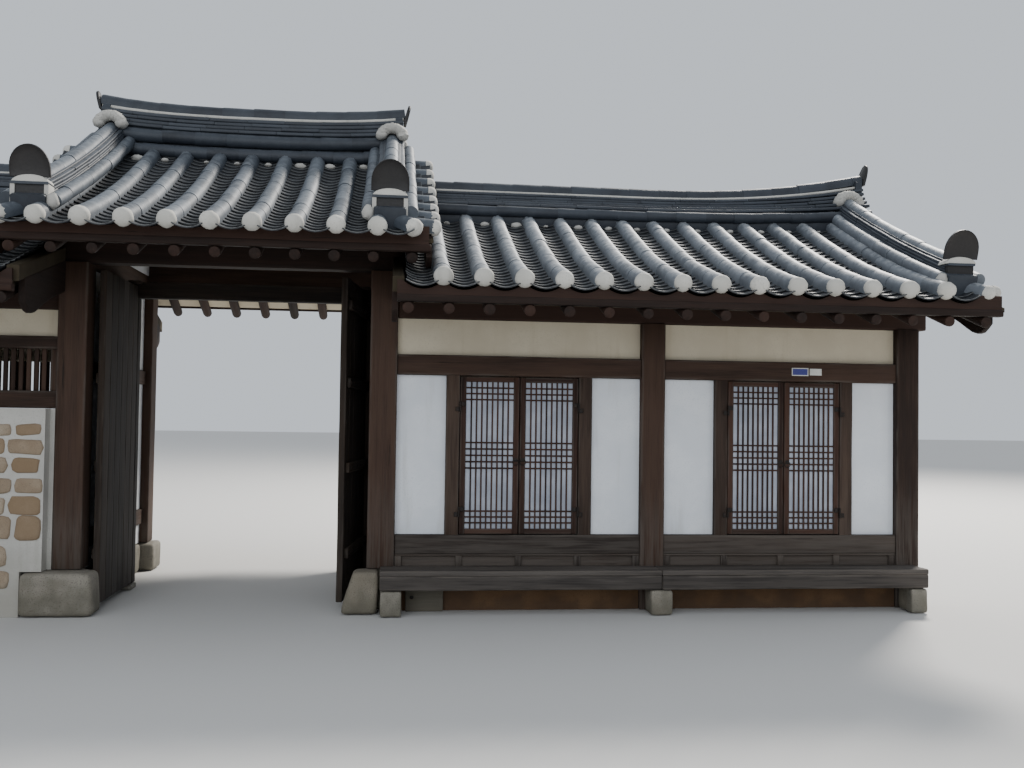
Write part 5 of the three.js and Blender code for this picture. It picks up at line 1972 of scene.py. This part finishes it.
@dataclass
class GateLeaf(Maker):
    """One leaf of the gate: upright boards on four battens, swung open about its pivot."""

    side: int
    degrees: float
    joints: tuple[float, ...] = (0.003, 0.195, 0.40, 0.575, 0.77, 0.95, 1.12)
    battens: tuple[float, ...] = (0.43, 1.18, 1.93, 2.62)
    batten_x: Span = (0.07, 1.11)
    batten_tall: float = 0.09
    levels: Span = (0.06, 2.90)
    pivot: Span = (1.09, -0.11)
    pins: tuple[Span, ...] = ((0.0503, 0.062), (2.898, 2.9147))

    def build(self) -> None:
        """Builds the leaf shut and turns it to where it stands at rest."""
        s = self.side
        name = "gate_leaf_left" if s < 0 else "gate_leaf_right"
        pivot = (s * self.pivot[0], self.pivot[1])
        piece = Piece(name + "_boards", [Look.LEAF, Look.IRON], self.rng, turn=(*pivot, s * self.degrees))
        boards = list(zip(self.joints, self.joints[1:]))
        for a, b in boards:
            front = -0.138 + self.rng.uniform(0, 0.003)
            xs = (s * (a + 0.001), s * (b - 0.001))
            piece.timber(xs, (front, -0.082), self.levels, Axis.Z, Look.LEAF, 0.005)
        xs, tall = tuple(s * x for x in self.batten_x), self.batten_tall
        for z in self.battens:
            piece.timber(xs, (-0.17, -0.135), (z, z + tall), Axis.X, Look.LEAF)
            for a, b in boards:
                self.nail(piece, s * (a + b) / 2, z + tall / 2)
        for low, high in self.pins:
            piece.sweep(np.array([(*pivot, low), (*pivot, high)]), rod_ring(0.020), Look.IRON)
        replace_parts(piece.build(self.palette, name), name)

    @staticmethod
    def nail(piece: Piece, x: float, z: float) -> None:
        """Adds the round head of a nail on a batten.

        Args:
            piece: What it goes into.
            x: Its place across the leaf.
            z: Its height.
        """
        path = np.array([(x, y, z) for y in (-0.165, -0.172, -0.177, -0.179)])
        ring = arc(0.013, 0, 330, 11)
        piece.sweep(path, ring, Look.IRON, scale=np.array([1.0, 1.0, 0.75, 0.3]))


# Stone, bench and small pieces


@dataclass
class Mason(Maker):
    """Builds the stones under the gate, the fieldstones in the fire walls and the legs of the bench."""

    wall_top: float = 1.59
    narrowest: float = 0.09

    def stones(self, name: str, blocks: list[Box], flip: int = 1, lean: float = 0.0) -> None:
        """Builds rough blocks that stand for the node of the same name.

        Args:
            name: The node's name.
            blocks: Each block's extents in X, Y and Z.
            flip: The sign of X.
            lean: How far the top of the first block's inner side leans outwards.
        """
        piece = Piece(name + "_rock", [Look.GRANITE], self.rng, (flip, 1))
        for i, block in enumerate(blocks):
            piece.rock(block, 0.0 if i else lean)
        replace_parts(piece.build(self.palette, sharp=70), name)

    def gate(self) -> None:
        """Builds the stones of the gate."""
        under, low, high = (1.232, 1.42), (0.0, 0.30), (0.0, 0.37)
        for word, flip, front, lean in (("left", -1, (1.02, 1.63), 0.03), ("right", 1, (0.96, 1.29), 0.11)):
            blocks = [(front, (-1.50, -1.215), high), ((1.175, 1.42), (-1.26, -1.08), high)]
            self.stones(f"gate_front_stone_{word}", blocks, flip, lean)
            footing = [
                (under, (-1.08, -0.60), low), (under, (-0.62, -0.12), low),
                ((1.18, 1.42), (-0.13, 0.13), (0.0, 0.20)), (under, (0.12, 0.60), low),
                (under, (0.58, 1.03), low), ((1.04, 1.20), (-0.18, 0.06), (0.0, 0.05)),
                ((1.10, 1.42), (1.03, 1.42), low),
            ]
            self.stones(f"gate_footing_{word}", footing, flip)

    def bench_legs(self) -> None:
        """Builds the three legs of the bench."""
        for word, xs in (("left", (1.30, 1.49)), ("middle", (3.62, 3.82)), ("right", (5.98, 6.14))):
            blocks = [(xs, (-1.558, -1.342), (0.0, 0.344)), (xs, (-1.614, -1.50), (0.0, 0.224))]
            self.stones(f"bench_leg_{word}", blocks)

    def fieldstones(self) -> None:
        """Sets rows of rounded fieldstones into the mortar of the fire walls."""
        piece = Piece("left_fieldstones", [Look.FIELDSTONE], self.rng, (-1, 1))
        self.face(piece, (1.45, 6.30), lambda u, v, w: (u, -1.44 - w, v), (1.66, 0.42))
        self.face(piece, (1.50, 6.30), lambda u, v, w: (u, 1.44 + w, v))
        self.face(piece, (-1.40, 1.40), lambda u, v, w: (6.33 + w, u, v))
        piece.build(self.palette, sharp=70)

    def face(self, piece: Piece, span: Span, place: Callable, free: Span | None = None) -> None:
        """Sets stones over one face of a wall in rough courses.

        Args:
            piece: What they go into.
            span: The face's extent along the wall.
            place: Gives the point of a place along the wall, a height and a depth.
            free: The far upper corner of the place at the start that stays free, where there is one.
        """
        rng = self.rng
        low = 0.02
        while low < self.wall_top - 0.09:
            tall = rng.uniform(0.15, 0.205) * (1.25 - 0.25 * low)
            tall = min(tall, self.wall_top - low)
            start = span[0] + rng.uniform(0.0, 0.05)
            while start < span[1] - 0.10:
                wide = min(rng.uniform(0.17, 0.33) * (1.2 - 0.2 * low), span[1] - start)
                size = (wide - rng.uniform(0.020, 0.036), tall - rng.uniform(0.018, 0.032))
                centre = (start + wide / 2, low + tall / 2 + rng.uniform(-0.012, 0.012))
                near = centre[0] - size[0] / 2, centre[1] - size[1] / 2
                if wide > self.narrowest and not (free and near[0] < free[0] and near[1] < free[1]):
                    self.cobble(piece, centre, size, place)
                start += wide
            low += tall

    def cobble(self, piece: Piece, centre: Span, size: Span, place: Callable) -> None:
        """Adds one stone: a rounded, slightly crooked shape that stands out of the mortar.

        Args:
            piece: What it goes into.
            centre: Its middle, along the wall and up.
            size: Its width and height.
            place: Gives the point of a place along the wall, a height and a depth.
        """
        rng = self.rng
        turn = np.linspace(0, 2 * math.pi, 15)[:-1]
        power = rng.uniform(0.36, 0.52)
        proud = rng.uniform(0.012, 0.024)
        tilt = rng.uniform(-0.12, 0.12)
        wobble = 1 + 0.06 * np.array([rng.uniform(-1, 1) for _ in turn])
        outline = [np.sign(f(turn)) * np.abs(f(turn)) ** power * wobble for f in (np.cos, np.sin)]
        sections = []
        for scale, depth in ((1.02, -0.02), (1.0, 0.0), (0.97, 0.5), (0.86, 0.85), (0.55, 1.0), (0.12, 1.03)):
            u = outline[0] * scale * size[0] / 2
            v = outline[1] * scale * size[1] / 2
            w = depth * proud if depth > 0 else depth
            flat = rng.uniform(-0.0015, 0.0015)
            across, up = centre[0] + u - tilt * v, np.maximum(0.0, centre[1] + v + tilt * u)
            sections.append([place(a, b, w + flat) for a, b in zip(across, up)])
        piece.add(sections)


@dataclass
class Bench(Maker):
    """The narrow wooden bench along the right wing, and the cover of the hearth under it."""

    halves: tuple[Span, ...] = ((1.30, 3.715), (3.719, 6.14))
    joints: tuple[float, ...] = (-1.622, -1.508, -1.412, -1.3203)
    top: float = 0.394
    under: float = 0.347

    def build(self) -> None:
        """Builds the boards and the beam under their front edge."""
        piece = Piece("bench_boards", [Look.BENCH], self.rng)
        for xs in self.halves:
            for front, back in zip(self.joints, self.joints[1:]):
                top = self.top - self.rng.uniform(0.0, 0.003)
                piece.timber(xs, (front + 0.002, back - 0.002), (self.under, top), Axis.X)
            piece.timber(xs, (-1.618, -1.562), (0.226, self.under + 0.001), Axis.X, None, 0.008, 0.003)
        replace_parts(piece.build(self.palette), "bench")
        cover = Piece("hearth_cover_board", [Look.PALE_BOARD, Look.IRON], self.rng)
        cover.timber((1.522, 1.848), (-1.318, -1.272), (0.0, 0.209), Axis.X)
        knob = np.array([(1.575, y, 0.125) for y in (-1.315, -1.328, -1.334, -1.338)])
        cover.sweep(knob, arc(0.016, 0, 330, 11), Look.IRON, scale=np.array([0.7, 0.9, 1.0, 0.5]))
        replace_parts(cover.build(self.palette), "hearth_cover")


class Plates(Maker):
    """The two small bare plates on the rail over the right-hand doors."""

    def build(self) -> None:
        """Builds both plates, the blue one with its pale border."""
        piece = Piece("name_plates", [Look.WHITE_PLATE, Look.BLUE_PLATE, Look.IRON], self.rng)
        for xs, ys, zs, look in (
            ((4.99, 5.147), (-1.301, -1.298), (2.105, 2.177), Look.WHITE_PLATE),
            ((4.998, 5.139), (-1.3025, -1.300), (2.113, 2.169), Look.BLUE_PLATE),
            ((5.160, 5.272), (-1.302, -1.298), (2.112, 2.172), Look.WHITE_PLATE),
        ):
            piece.timber(xs, ys, zs, Axis.X, look, 0.001, 0)
        piece.build(self.palette)


# Studio


@dataclass
class Studio:
    """The floor, the lights and the camera, which stands at the photograph's viewing angle."""

    camera_place: Place = (1.37, -10.36, 1.71)
    yaw: float = 0.116
    pitch: float = 0.0301
    roll: float = 0.0142
    lens: float = 36.387

    def build(self) -> None:
        """Builds the studio around the finished building."""
        self.floor()
        self.lights()
        self.camera()

    @staticmethod
    def floor() -> None:
        """Adds the pale plain floor."""
        bpy.ops.mesh.primitive_plane_add(size=160)
        plane = bpy.context.object
        plane.name = "floor"
        plane.location.z = -0.001
        material = bpy.data.materials.new("Pale floor")
        material.use_nodes = True
        shader = material.node_tree.nodes["Principled BSDF"]
        shader.inputs["Base Color"].default_value = (0.62, 0.61, 0.59, 1.0)
        shader.inputs["Roughness"].default_value = 0.9
        plane.data.materials.append(material)

    def lights(self) -> None:
        """Adds a soft key from behind at the right, a wide fill from the front and a pale sky."""
        scene = bpy.context.scene
        world = bpy.data.worlds.new("Pale sky")
        scene.world = world
        world.use_nodes = True
        background = world.node_tree.nodes["Background"]
        background.inputs["Color"].default_value = (0.86, 0.92, 1.0, 1.0)
        background.inputs["Strength"].default_value = 0.8
        self.area("key", (14.0, 12.0, 18.0), (0.0, 0.0, 2.0), 4.0, 10500, (1.0, 0.96, 0.90))
        self.area("fill", (-4.0, -22.0, 9.0), (0.0, 0.0, 1.5), 16.0, 1500, (0.92, 0.96, 1.0))

    @staticmethod
    def area(name: str, place: Place, aim: Place, size: float, power: float, colour: Colour) -> None:
        """Adds one square lamp.

        Args:
            name: Its name.
            place: Where it hangs.
            aim: The place that it points at.
            size: The length of its side.
            power: Its power in watts.
            colour: Its colour.
        """
        lamp = bpy.data.lights.new(name, "AREA")
        lamp.size = size
        lamp.energy = power
        lamp.color = colour
        made = bpy.data.objects.new(name, lamp)
        made.location = place
        made.rotation_euler = (Vector(aim) - Vector(place)).to_track_quat("-Z", "Y").to_euler()
        bpy.context.scene.collection.objects.link(made)

    def camera(self) -> None:
        """Sets the camera."""
        yaw, pitch, roll = self.yaw, self.pitch, self.roll
        ahead = Vector((math.sin(yaw) * math.cos(pitch), math.cos(yaw) * math.cos(pitch), math.sin(pitch)))
        level = Vector((math.cos(yaw), -math.sin(yaw), 0.0))
        upright = level.cross(ahead)
        right = level * math.cos(roll) + upright * math.sin(roll)
        up = upright * math.cos(roll) - level * math.sin(roll)
        lens = bpy.data.cameras.new("photograph")
        lens.sensor_width = 36.0
        lens.lens = self.lens
        made = bpy.data.objects.new("photograph", lens)
        turned = Matrix((right, up, -ahead)).transposed()
        made.matrix_world = Matrix.Translation(self.camera_place) @ turned.to_4x4()
        bpy.context.scene.collection.objects.link(made)
        bpy.context.scene.camera = made


KEPT_NODES = {
    Look.PLASTER: (
        "gate_side_wall_left", "gate_side_wall_right", "plaster_by_gate", "plaster_between_doors",
        "plaster_at_end", "right_back_wall", "right_end_wall",
    ),
    Look.CREAM: ("plaster_over_doors", "left_front_plaster", "left_back_plaster", "left_end_plaster"),
    Look.CLAY: ("right_floor",),
    Look.MORTAR: ("left_front_stone_wall", "left_back_stone_wall", "left_end_stone_wall"),
}


def dress_kept_nodes(palette: Palette) -> None:
    """Gives the walls that are kept as they are their plaster, clay and mortar.

    Args:
        palette: The building's materials.
    """
    for look, names in KEPT_NODES.items():
        for name in names:
            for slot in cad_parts[name].material_slots:
                slot.material = palette.materials[look]
            log.info("%s: kept, %s", name, look.value.name)


def build_roofs(palette: Palette, rng: random.Random) -> None:
    """Builds the three roofs with their ridges and bargeboards.

    Args:
        palette: The building's materials.
        rng: The source of all small differences.
    """
    boards = Bargeboards(palette, rng)
    for label, roof, flip in (("gate", GATE_ROOF, 1), ("right", WING_ROOF, 1), ("left", WING_ROOF, -1)):
        gate = label == "gate"
        RoofCover(palette, rng, roof, label, flip).build(Side.FRONT)
        RoofCover(palette, rng, GATE_REAR if gate else roof, label, flip).build(Side.BACK)
        courses = GATE_COURSES if gate else WING_COURSES
        span = (-1.465, 1.465) if gate else (1.76, 6.25)
        rise = (4.14, 0.080, 0.0, 3.0) if gate else (3.67, 0.272, 3.9, 2.3)
        MainRidge(palette, rng, label, roof, courses, span, *rise, flip).build()
    boards.build("gate_bargeboard_left", GATE_ROOF, -1)
    boards.build("gate_bargeboard_right", GATE_ROOF, 1)
    boards.build("right_bargeboard", WING_ROOF, 1)
    boards.build("left_bargeboard", WING_ROOF, -1)


def build_doors(palette: Palette, rng: random.Random) -> None:
    """Builds the leaves of the gate and the two pairs of room doors.

    Args:
        palette: The building's materials.
        rng: The source of all small differences.
    """
    GateLeaf(palette, rng, -1, 90.0).build()
    GateLeaf(palette, rng, 1, 82.5).build()
    for number, (bay, centre) in enumerate(zip(WING_BAYS, DOOR_CENTRES), 1):
        DoorFrame(palette, rng, number, bay, centre).build()
        for side in (-1, 1):
            LatticeDoor(palette, rng, number, centre, side).build()


def main() -> None:
    """Builds every part of the building in order and reports each piece."""
    logging.basicConfig(level=logging.INFO, format="%(name)s %(message)s")
    rng = random.Random(41)
    palette = Palette(Effects())
    dress_kept_nodes(palette)
    carpenter = Carpenter(palette, rng)
    carpenter.gate()
    carpenter.wings()
    carpenter.vent_bars()
    mason = Mason(palette, rng)
    mason.gate()
    mason.bench_legs()
    mason.fieldstones()
    Bench(palette, rng).build()
    build_doors(palette, rng)
    Plates(palette, rng).build()
    build_roofs(palette, rng)
    Studio().build()


if __name__ == "__main__":
    main()
